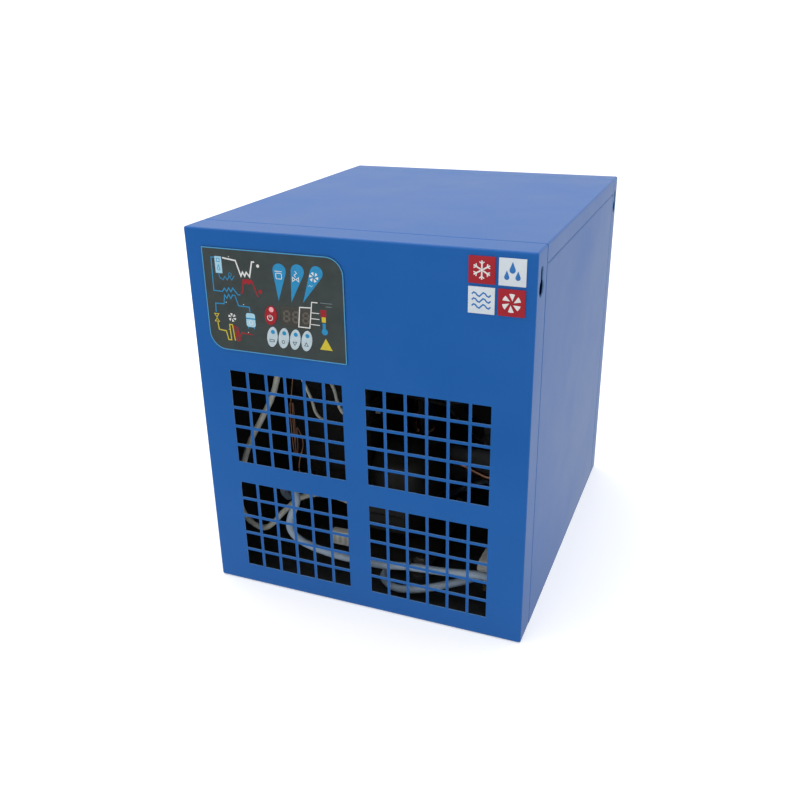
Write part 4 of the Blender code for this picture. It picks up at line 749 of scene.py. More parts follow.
def sheet_piece(name, shape, slot, node, inner=None, outer=None, thickness=None, edge=0.00040):
    """A sheet given its thickness inwards, its cut edges broken and given a painted highlight, its
    flats kept flat.
    """
    outer = outer or cabinet_paint()
    piece = Work(name).take(shape, outer).done("cabinet", slot, node, sharpest=50)
    piece.data.materials.append(inner or outer)
    if edge:
        piece.data.materials.append(painted_highlight_edge_paint())
    body_wall = piece.modifiers.new("Sheet", "SOLIDIFY")
    body_wall.thickness = thickness or bpy.context.scene.dryer_sizes.sheet
    body_wall.offset = -1
    body_wall.use_even_offset = True
    body_wall.material_offset = 1
    body_wall.material_offset_rim = 2 if edge else 0
    if edge:
        broken = piece.modifiers.new("Broken edge", "BEVEL")
        broken.width = edge
        broken.segments = 2
        # The broken edges take the painted highlight finish.
        broken.material = 2
        broken.limit_method = "ANGLE"
        broken.angle_limit = math.radians(60)
    flats = piece.modifiers.new("Flat faces", "WEIGHTED_NORMAL")
    flats.keep_sharp = True
    return piece


def keyhole(y, z):
    """A round hole with a slot rising from it."""
    radius, slot, rise = 0.0085, 0.0045, 0.0164
    spread = math.degrees(math.acos(slot / radius))
    return (arc((y, z), radius, 180 - spread, 360 + spread, 20)
            + arc((y, z + rise), slot, 0, 180, 8))


def make_front_panel(sizes):
    shape = folded_sheet(FRONT_LOW, FRONT_HIGH, ["+Y"], sizes.bend)
    pitch = sizes.hole + sizes.bar
    middle = sizes.front_margin + ((sizes.front_rows - 1) * pitch + sizes.hole) / 2
    punch_grille(shape, FRONT_Y, (0, middle), sizes.front_columns, sizes.front_rows,
                 (sizes.front_columns // 2, sizes.front_rows // 2))
    foot = FRONT_Y + 0.010
    score(shape, Z, 0.0, Y, [foot])
    bmesh.ops.delete(shape, geom=wall(shape, Z, 0.0, {Y: (foot, 1)}), context="FACES")
    for side in (-1, 1):
        open_hole(shape, X, side * HALF_W, keyhole(FRONT_Y + 0.0165, TOP - 0.0363), 0.001)
    facing_out(shape, Y, FRONT_Y)
    sheet_piece("front_sheet", shape, "cabinet_paint", "front_panel")


def make_rear_panel(sizes):
    shape = folded_sheet(REAR_LOW, REAR_HIGH, ["-Y", "-Z"], sizes.bend)
    punch_grille(shape, REAR_Y, (FAN_X, FAN_Z), sizes.rear_count, sizes.rear_count)
    for node, radius in (("inlet_port", 0.0136), ("outlet_port", 0.0136), ("cable_gland", 0.0098),
                         ("drain_port", 0.0068)):
        middle = span(node)[2]
        open_hole(shape, Y, REAR_Y, ring((middle.x, middle.z), radius, 24), 0.0015)
    for side in (-1, 1):
        open_hole(shape, X, side * HALF_W, keyhole(REAR_Y - 0.0130, TOP - 0.0363), 0.001)
    facing_out(shape, Y, REAR_Y)
    sheet_piece("rear_sheet", shape, "cabinet_paint", "rear_panel")


def make_top_cover(sizes):
    low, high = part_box("top_cover")
    low.y, high.y = low.y + SEAM, high.y - SEAM
    shape = facing_out(folded_sheet(low, high, ["-Z"], sizes.bend), Z, high.z)
    # Its inner face is finished in painted shade.
    sheet_piece("top_sheet", shape, "cabinet_paint", "top_cover", painted_shade_lining())


def make_side_panels(sizes):
    for side, name, opening in ((-1, "left_side", "+X"), (1, "right_side", "-X")):
        low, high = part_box(name + "_panel")
        low.y, high.y = low.y + SEAM, high.y - SEAM
        shape = folded_sheet(low, high, [opening, "-Z"], sizes.bend)
        facing_out(shape, X, side * HALF_W)
        # Their inner faces are finished in painted shade.
        sheet_piece(name + "_sheet", shape, "cabinet_paint", name + "_panel", painted_shade_lining())


def make_seals(sizes):
    """Foam strips behind the seams of the cover and the side panels."""
    thick, reach = 0.0015, 0.005
    cover_low, cover_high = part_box("top_cover")
    side_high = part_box("left_side_panel")[1].z
    inner, roof = HALF_W - sizes.sheet, TOP - sizes.sheet
    front = (cover_low.y - reach, cover_low.y + SEAM)
    rear = (cover_high.y - SEAM, cover_high.y + reach)
    work = Work("seam_seals")
    for start, end in (front, rear):
        work.take(block((-inner, start, roof - thick), (inner, end, roof)), foam())
        for side in (-1, 1):
            edges = sorted((side * (inner - thick), side * inner))
            work.take(block((edges[0], start, 0.004), (edges[1], end, roof)), foam())
    for side in (-1, 1):
        edges = sorted((side * (inner - thick), side * inner))
        work.take(block((edges[0], cover_low.y, side_high - SEAM),
                        (edges[1], cover_high.y, cover_low.z + reach)), foam())
    work.done("cabinet", "rubber")


# ---------------------------------------------------------------- control film
def drop(centre, radius, tip, count=20):
    """A rounded drop from a circle to a point."""
    away = Vector(tip) - Vector(centre)
    spread = math.degrees(math.acos(radius / away.length))
    heading = math.degrees(math.atan2(away.y, away.x))
    return arc(centre, radius, heading + spread, heading + 360 - spread, count) + [tip]


def pinwheel(work, centre, radius, front, material, turn=0.0):
    """A small fan of six curved blades."""
    for i in range(6):
        a = turn + i * 60
        inner = arc(centre, radius * 0.22, a, a + 10, 1)
        outer = arc(centre, radius, a + 10, a + 46, 4)
        work.take(mark([inner + outer], front + PRINT, front - PRINT), material)


def tank_sign(work, centre, size, front, material, width):
    x, z = centre
    outline = corner_rectangle(x - size * 0.40, z - size * 0.50, x + size * 0.40, z + size * 0.22,
                               (size * 0.12,) * 4, 3)
    work.take(stroke(outline, width, front, True), material)
    work.take(stroke([(x - size * 0.55, z + size * 0.46), (x + size * 0.50, z + size * 0.46)],
                     width,
                     front), material)


def valve_sign(work, centre, size, front, material, width, upright=False):
    """Two triangles point to point, the usual sign for a valve."""
    x, z = centre
    for way in (-1, 1):
        loop = [(0.12 * way, 0.0), (way, 0.62), (way, -0.62)]
        if upright:
            loop = [(b, a) for a, b in loop]
        work.take(stroke([(x + a * size, z + b * size) for a, b in loop], width, front, True),
                  material)


DIAGRAM = [
    # ink, line width and points, in millimetres
    ("white", 1.5, [(-140.6, 394.0), (-138.5, 393.5), (-125.4, 392.0), (-120.3, 376.4),
                    (-118.0, 380.6), (-115.9, 376.6), (-113.7, 380.8), (-110.2, 376.4),
                    (-106.4, 392.0), (-103.4, 392.2)]),
    ("sky", 1.1, [(-149.9, 393.6), (-154.0, 393.6), (-154.6, 358.4), (-144.3, 358.0),
                  (-141.4, 361.8), (-139.0, 358.2), (-136.4, 362.6), (-134.0, 358.6),
                  (-131.4, 362.8), (-129.4, 360.2), (-126.2, 356.4), (-123.2, 356.0)]),
    ("sky", 1.1, [(-154.4, 335.0), (-154.0, 344.6), (-143.6, 344.8), (-142.2, 354.6),
                  (-139.6, 351.2), (-137.2, 355.6), (-134.8, 351.4), (-132.4, 355.4),
                  (-129.6, 355.0), (-126.4, 344.4), (-113.6, 344.0), (-113.4, 338.6)]),
    ("red", 1.3, [(-122.0, 357.4), (-119.6, 360.4), (-118.2, 372.6), (-108.4, 372.8),
                  (-103.4, 359.4), (-101.6, 356.4)]),
    ("red", 3.0, [(-118.6, 371.4), (-116.6, 369.8), (-114.4, 371.6), (-112.2, 369.8),
                  (-110.0, 371.6), (-108.0, 370.4)]),
    ("yellow", 1.2, [(-153.6, 324.0), (-152.8, 316.0), (-144.2, 315.2), (-142.2, 305.8),
                     (-138.6, 305.8), (-139.4, 322.8), (-136.0, 322.8), (-134.2, 305.4)]),
    ("red", 1.8, [(-133.6, 322.4), (-131.4, 306.0), (-129.8, 306.0)]),
    ("red", 1.8, [(-130.6, 321.4), (-128.2, 306.4)]),
    ("red", 1.2, [(-129.6, 308.6), (-125.0, 315.0), (-119.0, 314.6), (-112.6, 314.2)]),
    ("sky", 0.8, [(-146.6, 377.0), (-146.0, 373.0), (-142.0, 370.6), (-139.6, 374.4),
                  (-137.0, 371.0), (-134.4, 375.0), (-131.6, 371.2), (-128.4, 375.6)]),
    ("white", 0.8, [(-42.6, 345.4), (-33.4, 345.4)]),
    ("white", 0.8, [(-43.4, 339.3), (-33.4, 339.3)]),
    ("white", 0.8, [(-44.2, 333.2), (-33.4, 333.0)]),
    ("white", 1.0, [(-41.9, 350.4), (-41.1, 356.4), (-34.6, 356.4)]),
    ("faint", 0.8, [(-31.6, 356.6), (-18.6, 356.6)]),
    ("faint", 0.8, [(-25.6, 353.2), (-19.2, 353.2)]),
]

DIAGRAM_DOTS = [
    # ink, middle and radius in millimetres
    ("white", (-99.7, 388.4), 1.7), ("white", (-133.0, 395.4), 0.5),
    ("white", (-142.6, 360.0), 0.5), ("white", (-141.0, 346.8), 0.5),
    ("white", (-120.2, 346.2), 0.5), ("white", (-140.4, 317.4), 0.5),
    ("white", (-117.4, 316.4), 0.5), ("red", (-99.0, 361.8), 2.2),
]


def make_film(sizes):
    """The film, its border and the printed diagram, with openings for the keys and the lens."""
    front = FILM_LOW.y
    border = 0.0006
    radii = (0.019, 0.0006, 0.019, 0.0006)
    edge = corner_rectangle(FILM_LOW.x, FILM_LOW.z, FILM_HIGH.x, FILM_HIGH.z, radii, 14)
    openings = [oval(place, width + 0.0002, height + 0.0002, KEY_LEAN)
                for _, _, place, width, height in KEYS]
    openings.append(rectangle(LENS_LOW.x - 0.0001, LENS_LOW.z - 0.0001, LENS_HIGH.x + 0.0001,
                              LENS_HIGH.z + 0.0001))
    work = Work("control_film")
    work.take(mark([edge, *openings], FILM_HIGH.y, front), film_ground())
    inset = corner_rectangle(FILM_LOW.x + border, FILM_LOW.z + border, FILM_HIGH.x - border,
                             FILM_HIGH.z - border, [max(0.0002, r - border) for r in radii], 14)
    work.take(stroke(inset, 0.0010, front, True), border_ink())
    work.done("cabinet", "overlay", "control_overlay")

    low, high = front + PRINT, front - PRINT
    prints = Work("film_diagram")
    inks = {"white": white_ink(), "sky": sky_ink(), "red": red_ink(), "yellow": yellow_ink(),
            "pale": pale_ink(), "faint": faint_ink()}

    def fill(colour, loop, back=low, face=high):
        prints.take(mark([millimetres(loop)], back, face), inks[colour])

    def draw(colour, width, points, level=front, closed_loop=False):
        prints.take(stroke(millimetres(points), width / 1000, level, closed_loop), inks[colour])

    for i, (colour, width, points) in enumerate(DIAGRAM):
        draw(colour, width, points, front - PRINT * (i % 4) / 4)
    for colour, middle, radius in DIAGRAM_DOTS:
        fill(colour, ring(middle, radius, 16))
    # filter, with its drop, and receiver
    fill("pale", rectangle(-150.0, 377.4, -142.0, 394.9))
    draw("sky", 0.6, rectangle(-147.6, 389.4, -144.4, 392.8), high, True)
    draw("sky", 0.6, drop((-146.0, 382.0), 1.5, (-146.0, 386.2), 10), high, True)
    fill("pale", corner_rectangle(-118.6, 322.6, -107.8, 337.6, (2.6,) * 4, 5))
    fill("sky", rectangle(-118.6, 331.0, -107.8, 332.4), high, high - PRINT)
    draw("white", 0.7, ring((-113.2, 327.4), 2.1, 14), high, True)
    for x in (-116.6, -109.6):
        draw("sky", 0.9, [(x, 322.8), (x, 320.8)])
    draw("sky", 0.6, ring((-133.4, 376.8), 1.8, 14), front, True)
    valve_sign(prints, (-0.1541, 0.3290), 0.0042, front, inks["yellow"], 0.0008, True)
    pinwheel(prints, (-0.1354, 0.3308), 0.0046, front, inks["white"], 12)
    # thermometer
    fill("red", rectangle(-31.8, 342.0, -25.6, 349.6))
    fill("yellow", rectangle(-30.9, 336.6, -26.4, 342.0))
    fill("sky", rectangle(-30.2, 328.0, -26.9, 335.6))
    fill("sky", ring((-28.2, 326.6), 3.4, 20), low, high - PRINT / 3)
    # plain triangle below it
    fill("yellow", [(-34.4, 307.4), (-20.4, 307.4), (-27.4, 319.8)])
    # three drops with signs
    for centre, radius, tip in (((-75.5, 385.4), 7.5, (-78.4, 354.4)),
                                ((-55.1, 386.4), 7.3, (-63.9, 354.0)),
                                ((-34.2, 386.6), 7.0, (-50.8, 354.8))):
        fill("sky", drop(centre, radius, tip, 26))
    tank_sign(prints, (-0.0764, 0.3812), 0.0080, high, inks["white"], 0.0007)
    valve_sign(prints, (-0.0575, 0.3782), 0.0034, high, inks["white"], 0.0007)
    draw("white", 0.7, [(-57.5, 380.4), (-58.9, 382.6), (-55.9, 384.6), (-57.9, 386.8)], high)
    pinwheel(prints, (-0.0372, 0.3822), 0.0050, high, inks["white"], 20)
    draw("pale", 0.6, [(-43.6, 372.4), (-41.9, 373.8), (-40.4, 372.2), (-38.9, 373.6)], high)
    # frame round the last digit
    draw("white", 1.1, [(-57.4, 329.0), (-44.8, 329.0), (-41.9, 350.4), (-55.0, 349.8)], front,
         True)
    prints.done("cabinet", "overlay")


KEY_LEAN = math.radians(11.0)


def key_middle(node):
    low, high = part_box(node)
    return ((low.x + high.x) / 2, (low.z + high.z) / 2)


KEYS = [
    # node, body, middle, half width and half height
    ("power_key", "power_button", key_middle("power_key"), 0.0070, 0.0104),
    *((name + "_key", name + "_button", key_middle(name + "_key"), 0.0060, 0.0112)
      for name in ("set", "test", "down", "up")),
]


def pill(middle, half_width, half_height, lean, back, front, edge):
    """An oval key with a rounded rim."""
    shape = bmesh.new()
    bmesh.ops.create_circle(shape, cap_ends=True, segments=56, radius=1.0)
    turn = Matrix.Translation((middle[0], back, middle[1])) @ Matrix.Rotation(lean, 4, "Y") \
        @ Matrix.Rotation(math.pi / 2, 4, "X") @ Matrix.Diagonal((half_width, half_height, 1, 1))
    bmesh.ops.transform(shape, matrix=turn, verts=shape.verts)
    drawn_out(shape, bmesh.ops.extrude_face_region(shape, geom=shape.faces[:]),
              (0, front - back, 0))
    face = [f for f in shape.faces if all(abs(v.co.y - front) < NEAR for v in f.verts)][0]
    bevelled(shape, list(face.edges), edge, 3)
    return closed(shape, FINE_WELD)


def make_keys(sizes):
    for node, body, middle, half_width, half_height in KEYS:
        power = node == "power_key"
        low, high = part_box(node)
        x, z = middle
        face = low.y + PRINT
        work = Work(node + "_cap")
        work.take(pill(middle, half_width, half_height, KEY_LEAN,
                       high.y - KEY_ROOM, face, 0.00022),
                  red_key() if power else white_key())
        back, front = face + PRINT / 2, low.y
        if power:
            work.take(mark([ring((x + 0.0012, z + 0.0064), 0.0027, 24)], back, front), indicator())
            sign = arc((x - 0.0009, z - 0.0025), 0.0029, 125, 415, 22)
            work.take(stroke(sign, 0.0008, face), white_ink())
            work.take(stroke([(x - 0.0009, z - 0.0022), (x - 0.0007, z + 0.0009)], 0.0008, face),
                      white_ink())
        else:
            work.take(mark([ring((x + 0.0011, z + 0.0056), 0.0023, 24)], back, front), sky_ink())
            place = Vector((x - 0.0006, z - 0.0040))
            if node in ("down_key", "up_key"):
                point = -1 if node == "down_key" else 1
                loop = [(-0.0021, -0.0014 * point), (0.0021, -0.0014 * point), (0, 0.0021 * point)]
            elif node == "set_key":
                loop = [(-0.0026, -0.0011), (0.0026, -0.0011), (0.0026, 0.0011), (-0.0026, 0.0011)]
            else:
                loop = ring((0, 0), 0.0016, 12)
            loop = [tuple(place + Vector(point)) for point in loop]
            work.take(stroke(loop, 0.0006, face, True), key_ink())
        work.done(body, "red_key" if power else "white_key", node)


SEGMENTS = [
    # one bar of a digit: middle as a share of width and height, and whether it lies flat
    ((0.0, 1.0), True), ((0.0, 0.0), True), ((0.0, -1.0), True), ((-1.0, 0.5), False),
    ((1.0, 0.5), False), ((-1.0, -0.5), False), ((1.0, -0.5), False),
]


def make_display(sizes):
    """Smoked lens with three unlit digits behind it."""
    work = Work("display_window")
    work.take(block(LENS_LOW, LENS_HIGH, 0.00012), lens_plastic())
    front = LENS_LOW.y
    bar = 0.0011
    for middle in (-0.0706, -0.0601, -0.0487):
        half_width, half_height = 0.0030, 0.0053
        for (u, v), flat in SEGMENTS:
            x = middle + u * half_width + v * half_height * 0.08
            z = 0.3388 + v * half_height
            reach = (half_width if flat else half_height / 2) * 0.92
            if flat:
                loop = [(x - reach, z), (x - reach + bar, z + bar), (x + reach - bar, z + bar),
                        (x + reach, z), (x + reach - bar, z - bar), (x - reach + bar, z - bar)]
            else:
                loop = [(x, z - reach), (x + bar, z - reach + bar), (x + bar, z + reach - bar),
                        (x, z + reach), (x - bar, z + reach - bar), (x - bar, z - reach + bar)]
            work.take(mark([loop], front + PRINT / 2, front - PRINT / 2), unlit_segment())
    work.done("cabinet", "lens", "display_lens")


def make_badge(sizes):
    """Four enamelled squares with plain signs for cold, water, coil and air."""
    back, front = FRONT_Y, BADGE_LOW.y
    face = front + PRINT
    left, low = BADGE_LOW.x, BADGE_LOW.z
    side = 0.0255
    step = BADGE_HIGH.x - BADGE_LOW.x - side
    work = Work("badge_squares")
    for column in (0, 1):
        for row in (0, 1):
            x, z = left + column * step, low + row * step
            red = column != row
            work.take(block((x, face, z), (x + side, back, z + side), 0.00035),
                      badge_red() if red else badge_silver())
            centre = (x + side / 2, z + side / 2)
            if red and row:
                work.take(mark([ring(centre, 0.0014, 6)], face + PRINT, front), white_ink())
                for a in range(0, 360, 60):
                    heading = math.radians(a + 90)
                    reach = Vector((math.cos(heading), math.sin(heading)))
                    ends = [tuple(Vector(centre) + length * reach) for length in (0.0014, 0.0088)]
                    work.take(stroke(ends, 0.0014, face), white_ink())
                    tip = Vector(centre) + 0.0058 * reach
                    for turn in (-0.9, 0.9):
                        side_heading = heading + turn
                        away = Vector((math.cos(side_heading), math.sin(side_heading))) * 0.0030
                        work.take(stroke([tuple(tip), tuple(tip + away)], 0.0010,
                                         face + PRINT / 3), white_ink())
            elif red:
                pinwheel(work, centre, 0.0088, face, white_ink())
            elif row:
                for dx, dz, size in ((0, 0.0034, 0.0029), (-0.0052, -0.0036, 0.0024),
                                     (0.0052, -0.0036, 0.0024)):
                    spot = (centre[0] + dx, centre[1] + dz - size * 0.5)
                    work.take(mark([drop(spot, size, (spot[0], spot[1] + size * 2.7), 14)],
                                   face + PRINT, front), badge_blue())
            else:
                for dz in (-0.0056, 0.0, 0.0056):
                    wave = [(centre[0] - 0.0090 + i * 0.0018,
                             centre[1] + dz + 0.0019 * math.sin(i * math.pi / 2.5))
                            for i in range(11)]
                    work.take(stroke(wave, 0.0014, face), badge_blue())
    work.done("cabinet", "badge", "badge_plate")


# ---------------------------------------------------------------- compressor
def make_compressor(sizes):
    """Welded shell with its lapped seam, a boss on its top, and its terminal cover and foot
    grommets.
    """
    low, high = SHELL_LOW, SHELL_HIGH
    middle = (low + high) / 2
    half_x, half_y, height = (high.x - low.x) / 2, (high.y - low.y) / 2, high.z - low.z
    seam, lip, half_seam, power = SHELL_SEAM, 0.0025, 0.0018, 2 / 2.9
    radius = half_y - lip
    profile = []
    for i in range(19):
        a = math.pi / 2 * i / 18
        profile.append((radius * math.sin(a) ** power,
                        seam + half_seam + (height - seam - half_seam) * math.cos(a) ** power))
    profile += rounded([(radius, seam + half_seam), (half_y, seam + half_seam),
                        (half_y, seam - half_seam), (radius, seam - half_seam)], 0.0012)[1:-1]
    for i in range(19):
        a = math.pi / 2 * (1 - i / 18)
        profile.append((radius * math.sin(a) ** power,
                        seam - half_seam - (seam - half_seam) * math.cos(a) ** power))
    profile[0], profile[-1] = (0, height), (0, 0)
    work = Work("compressor_can")
    work.take(lathe(profile, (middle.x, middle.y, low.z), steps=72, squeeze=half_x / half_y),
              black_paint())
    work.take(lathe(rounded([(0, 0.0016), (0.0125, 0.0016), (0.0160, -0.002), (0, -0.002)], 0.001),
                    (middle.x, middle.y - 0.006, high.z - 0.0016), steps=40), black_paint())
    work.done("cabinet", "black_paint", "compressor_shell")
    low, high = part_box("compressor_terminal_cover")
    cover = Work("terminal_cover")
    cover.take(block(low, high, 0.0022, 4), black_plastic())
    cover.take(block((low.x - 0.0010, high.y - 0.003, low.z - 0.0010),
                     (high.x + 0.0010, high.y, high.z + 0.0010),
                     0.0004), black_plastic())
    bail = (low.z + high.z) / 2 + 0.002
    cover.take(pipe([(low.x + 0.004, low.y + 0.001, bail), (low.x + 0.004, low.y - 0.0016, bail),
                     (high.x - 0.004, low.y - 0.0016, bail),
                     (high.x - 0.004, low.y + 0.001, bail)],
                    0.0008, 0.003, 2), black_paint())
    cover.done("cabinet", "black_plastic", "compressor_terminal_cover")
    for number in range(1, 5):
        low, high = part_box("compressor_grommet_%d" % number)
        plate_low, plate_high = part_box("compressor_base_plate")
        under, over = plate_low.z - GAP, plate_high.z + GAP
        waist = (low.z + under) / 2
        profile = [(0.0035, high.z), (0.0080, high.z), (0.0090, high.z - 0.001), (0.0090, over),
                   (0.0062, over), (0.0062, under), (0.0115, under), (0.0120, under - 0.001),
                   (0.0120, waist + 0.002), (0.0102, waist), (0.0120, waist - 0.002),
                   (0.0120, low.z), (0.0035, low.z), (0.0035, high.z)]
        middle = (low + high) / 2
        grommet = Work("foot_grommet_%d" % number)
        grommet.take(lathe(profile, (middle.x, middle.y, 0), steps=32), rubber())
        grommet.take(hexagon((middle.x, middle.y), 0.0052, high.z - 0.0002, high.z + 0.0034, "Z"),
                     zinc())
        grommet.done("cabinet", "rubber", "compressor_grommet_%d" % number)


def hexagon(middle, radius, low, high, axis, edge=0.0004, bore=0.0, turn=0.0):
    """A hexagonal nut or head between two heights on an axis, with chamfered rims."""
    shape = bmesh.new()
    if bore:
        bmesh.ops.create_circle(shape, segments=6, radius=radius)
        bmesh.ops.subdivide_edges(shape, edges=shape.edges[:], cuts=5)
        bmesh.ops.create_circle(shape, segments=36, radius=bore)
        bmesh.ops.bridge_loops(shape, edges=shape.edges[:])
    else:
        bmesh.ops.create_circle(shape, cap_ends=True, segments=6, radius=radius)
    drawn_out(shape, bmesh.ops.extrude_face_region(shape, geom=shape.faces[:]),
              (0, 0, high - low))
    closed(shape)
    rims = [e for e in shape.edges if len(e.link_faces) == 2
            and abs(e.verts[0].co.z - e.verts[1].co.z) < NEAR
            and abs(e.link_faces[0].normal.z) + abs(e.link_faces[1].normal.z) > 0.9
            and abs(e.link_faces[0].normal.z * e.link_faces[1].normal.z) < 0.1
            and e.verts[0].co.xy.length > bore + NEAR * 10]
    if edge and rims:
        bevelled(shape, rims, edge, 2)
    u, v = middle
    place = {"Y": (u, low, v), "Z": (u, v, low)}[axis]
    spin = Matrix.Rotation(math.radians(turn), 4, "Z")
    matrix = Matrix.Translation(place) @ TO_AXIS[axis] @ spin
    bmesh.ops.transform(shape, matrix=matrix, verts=shape.verts)
    return closed(shape)


# ---------------------------------------------------------------- condenser and fan
def make_condenser(sizes):
    """Stacked fins between end plates, with the tubes' hairpins at both ends."""
    low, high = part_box("condenser_core")
    left, right = FAN_X - CORE_HALF, FAN_X + CORE_HALF
    bottom, top = SHROUD_LOW.z, SHROUD_HIGH.z
    y = (low.y + high.y) / 2
    pack = Work("condenser_fins")
    count = int((right - left - 0.004) / sizes.fin_pitch)
    first = (left + right) / 2 - (count - 1) * sizes.fin_pitch / 2
    for i in range(count):
        x = first + i * sizes.fin_pitch
        pack.take(block((x - sizes.fin / 2, low.y + 0.0006, bottom + 0.0012),
                        (x + sizes.fin / 2, high.y - 0.0006, top - 0.0012)), fins())
    for x in (left, right - 0.0012):
        pack.take(block((x, low.y, bottom), (x + 0.0012, high.y, top), 0.0003, 1), galvanised())
    for z in (bottom, top - 0.0012):
        pack.take(block((left, low.y, z), (right, high.y, z + 0.0012), 0.0003, 1), galvanised())
    step = (top - bottom) / 8
    for row in range(8):
        z = bottom + step * (row + 0.5)
        pack.take(pipe([(left - 0.002, y, z), (left + 0.05, y, z), (right - 0.05, y, z),
                        (right + 0.002, y, z)], 0.0040, 0.04, 4), copper())
    for end, start, away in ((left, 1, -1), (right, 0, 1)):
        for row in range(start, 7, 2):
            middle = bottom + step * (row + 1)
            bend = [(end - away * 0.001, y, middle - step / 2)]
            for a in range(-90, 91, 15):
                bend.append((end + away * step / 2 * math.cos(math.radians(a)) * 0.8, y,
                             middle + step / 2 * math.sin(math.radians(a))))
            bend.append((end - away * 0.001, y, middle + step / 2))
            pack.take(pipe(bend, 0.0040, 0.01, 4), copper())
    pack.done("cabinet", "fins", "condenser_core")


def make_shroud(sizes):
    low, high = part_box("fan_shroud")
    front = high.y - 0.030
    bore = 0.0865
    shape = folded_sheet((low.x, front, low.z), high, ["+Y"], 0.0022)
    rim = open_hole(shape, Y, front, ring((FAN_X, FAN_Z), bore, 72), 0.004)
    drawn_out(shape, bmesh.ops.extrude_edge_only(shape, edges=rim),
              (0, low.y - front, 0))
    bmesh.ops.recalc_face_normals(shape, faces=shape.faces)
    shape.normal_update()
    found = max(wall(shape, Y, front), key=lambda face: face.calc_area())
    if found.normal.y > 0:
        bmesh.ops.reverse_faces(shape, faces=shape.faces)
    sheet_piece("shroud_sheet", shape, "black_paint", "fan_shroud", outer=black_paint(),
                thickness=0.0010, edge=0)


def blade(number, count):
    """One twisted, cupped blade, steeper at the root."""
    inner, outer = 0.0192, ROTOR_HIGH.x - FAN_X
    length = ROTOR_HIGH.y - ROTOR_LOW.y
    shape = bmesh.new()
    bmesh.ops.create_grid(shape, x_segments=10, y_segments=9, size=0.5)
    for vertex in shape.verts:
        along, across = vertex.co.y + 0.5, vertex.co.x
        reach = inner + (outer - inner) * along
        sweep = across * (0.95 - 0.25 * along)
        pitch = 1.05 - 0.45 * along
        cup = 0.0016 * (1 - 4 * across * across)
        rise = max(-1.0, min(1.0, across * 2)) * length * 0.40 * pitch + cup
        vertex.co = (reach * math.sin(sweep), rise, reach * math.cos(sweep))
    bmesh.ops.recalc_face_normals(shape, faces=shape.faces)
    bmesh.ops.solidify(shape, geom=shape.faces[:], thickness=0.0016)
    middle = (FAN_X, (ROTOR_LOW.y + ROTOR_HIGH.y) / 2, FAN_Z)
    return closed(turned(shape, middle, 2 * math.pi * number / count))


def make_fan(sizes):
    low, high = ROTOR_LOW.y, ROTOR_HIGH.y
    rotor = Work("fan_impeller")
    hub = rounded([(0, high - low), (0.024, high - low), (0.024, 0), (0.0205, 0), (0.0205, 0.0025),
                   (0, 0.0025)], 0.0022)
    rotor.take(lathe(hub, (FAN_X, low, FAN_Z), "Y", 56), black_plastic())
    for number in range(sizes.blades):
        rotor.take(blade(number, sizes.blades), black_plastic())
    for a in range(5):
        rib = block((-0.0008, 0.0006, 0.006), (0.0008, 0.0026, 0.0205), 0.0003, 1)
        rotor.take(turned(rib, (FAN_X, low, FAN_Z), a * 2 * math.pi / 5), black_plastic())
    rotor.done("fan", "black_plastic", "fan_rotor")
    low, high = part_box("fan_motor")
    length = high.y - low.y
    radius = (high.x - low.x) / 2
    can = [(0, length), (0.0100, length), (0.0100, 0.048), (0.0250, 0.048),
           (radius * 0.86, 0.0470), (radius, 0.0412), (radius, 0.0290), (radius - 0.0012, 0.0285),
           (radius - 0.0012, 0.0265), (radius, 0.0260), (radius, 0.0096), (radius * 0.82, 0.0040),
           (radius * 0.7, 0.0), (0.0100, 0.0), (0.0095, -0.0), (0, 0.0)]
    motor = Work("fan_motor_can")
    motor.take(lathe(rounded(can, 0.0014), (FAN_X, low.y, FAN_Z), "Y", 56), black_paint())
    for a in range(0, 360, 90):
        heading = math.radians(a + 45)
        spot = (FAN_X + 0.029 * math.cos(heading), FAN_Z + 0.029 * math.sin(heading))
        motor.take(hexagon(spot, 0.0030, low.y + 0.0022, low.y + 0.0050, "Y"), zinc())
    motor.done("cabinet", "black_paint", "fan_motor")


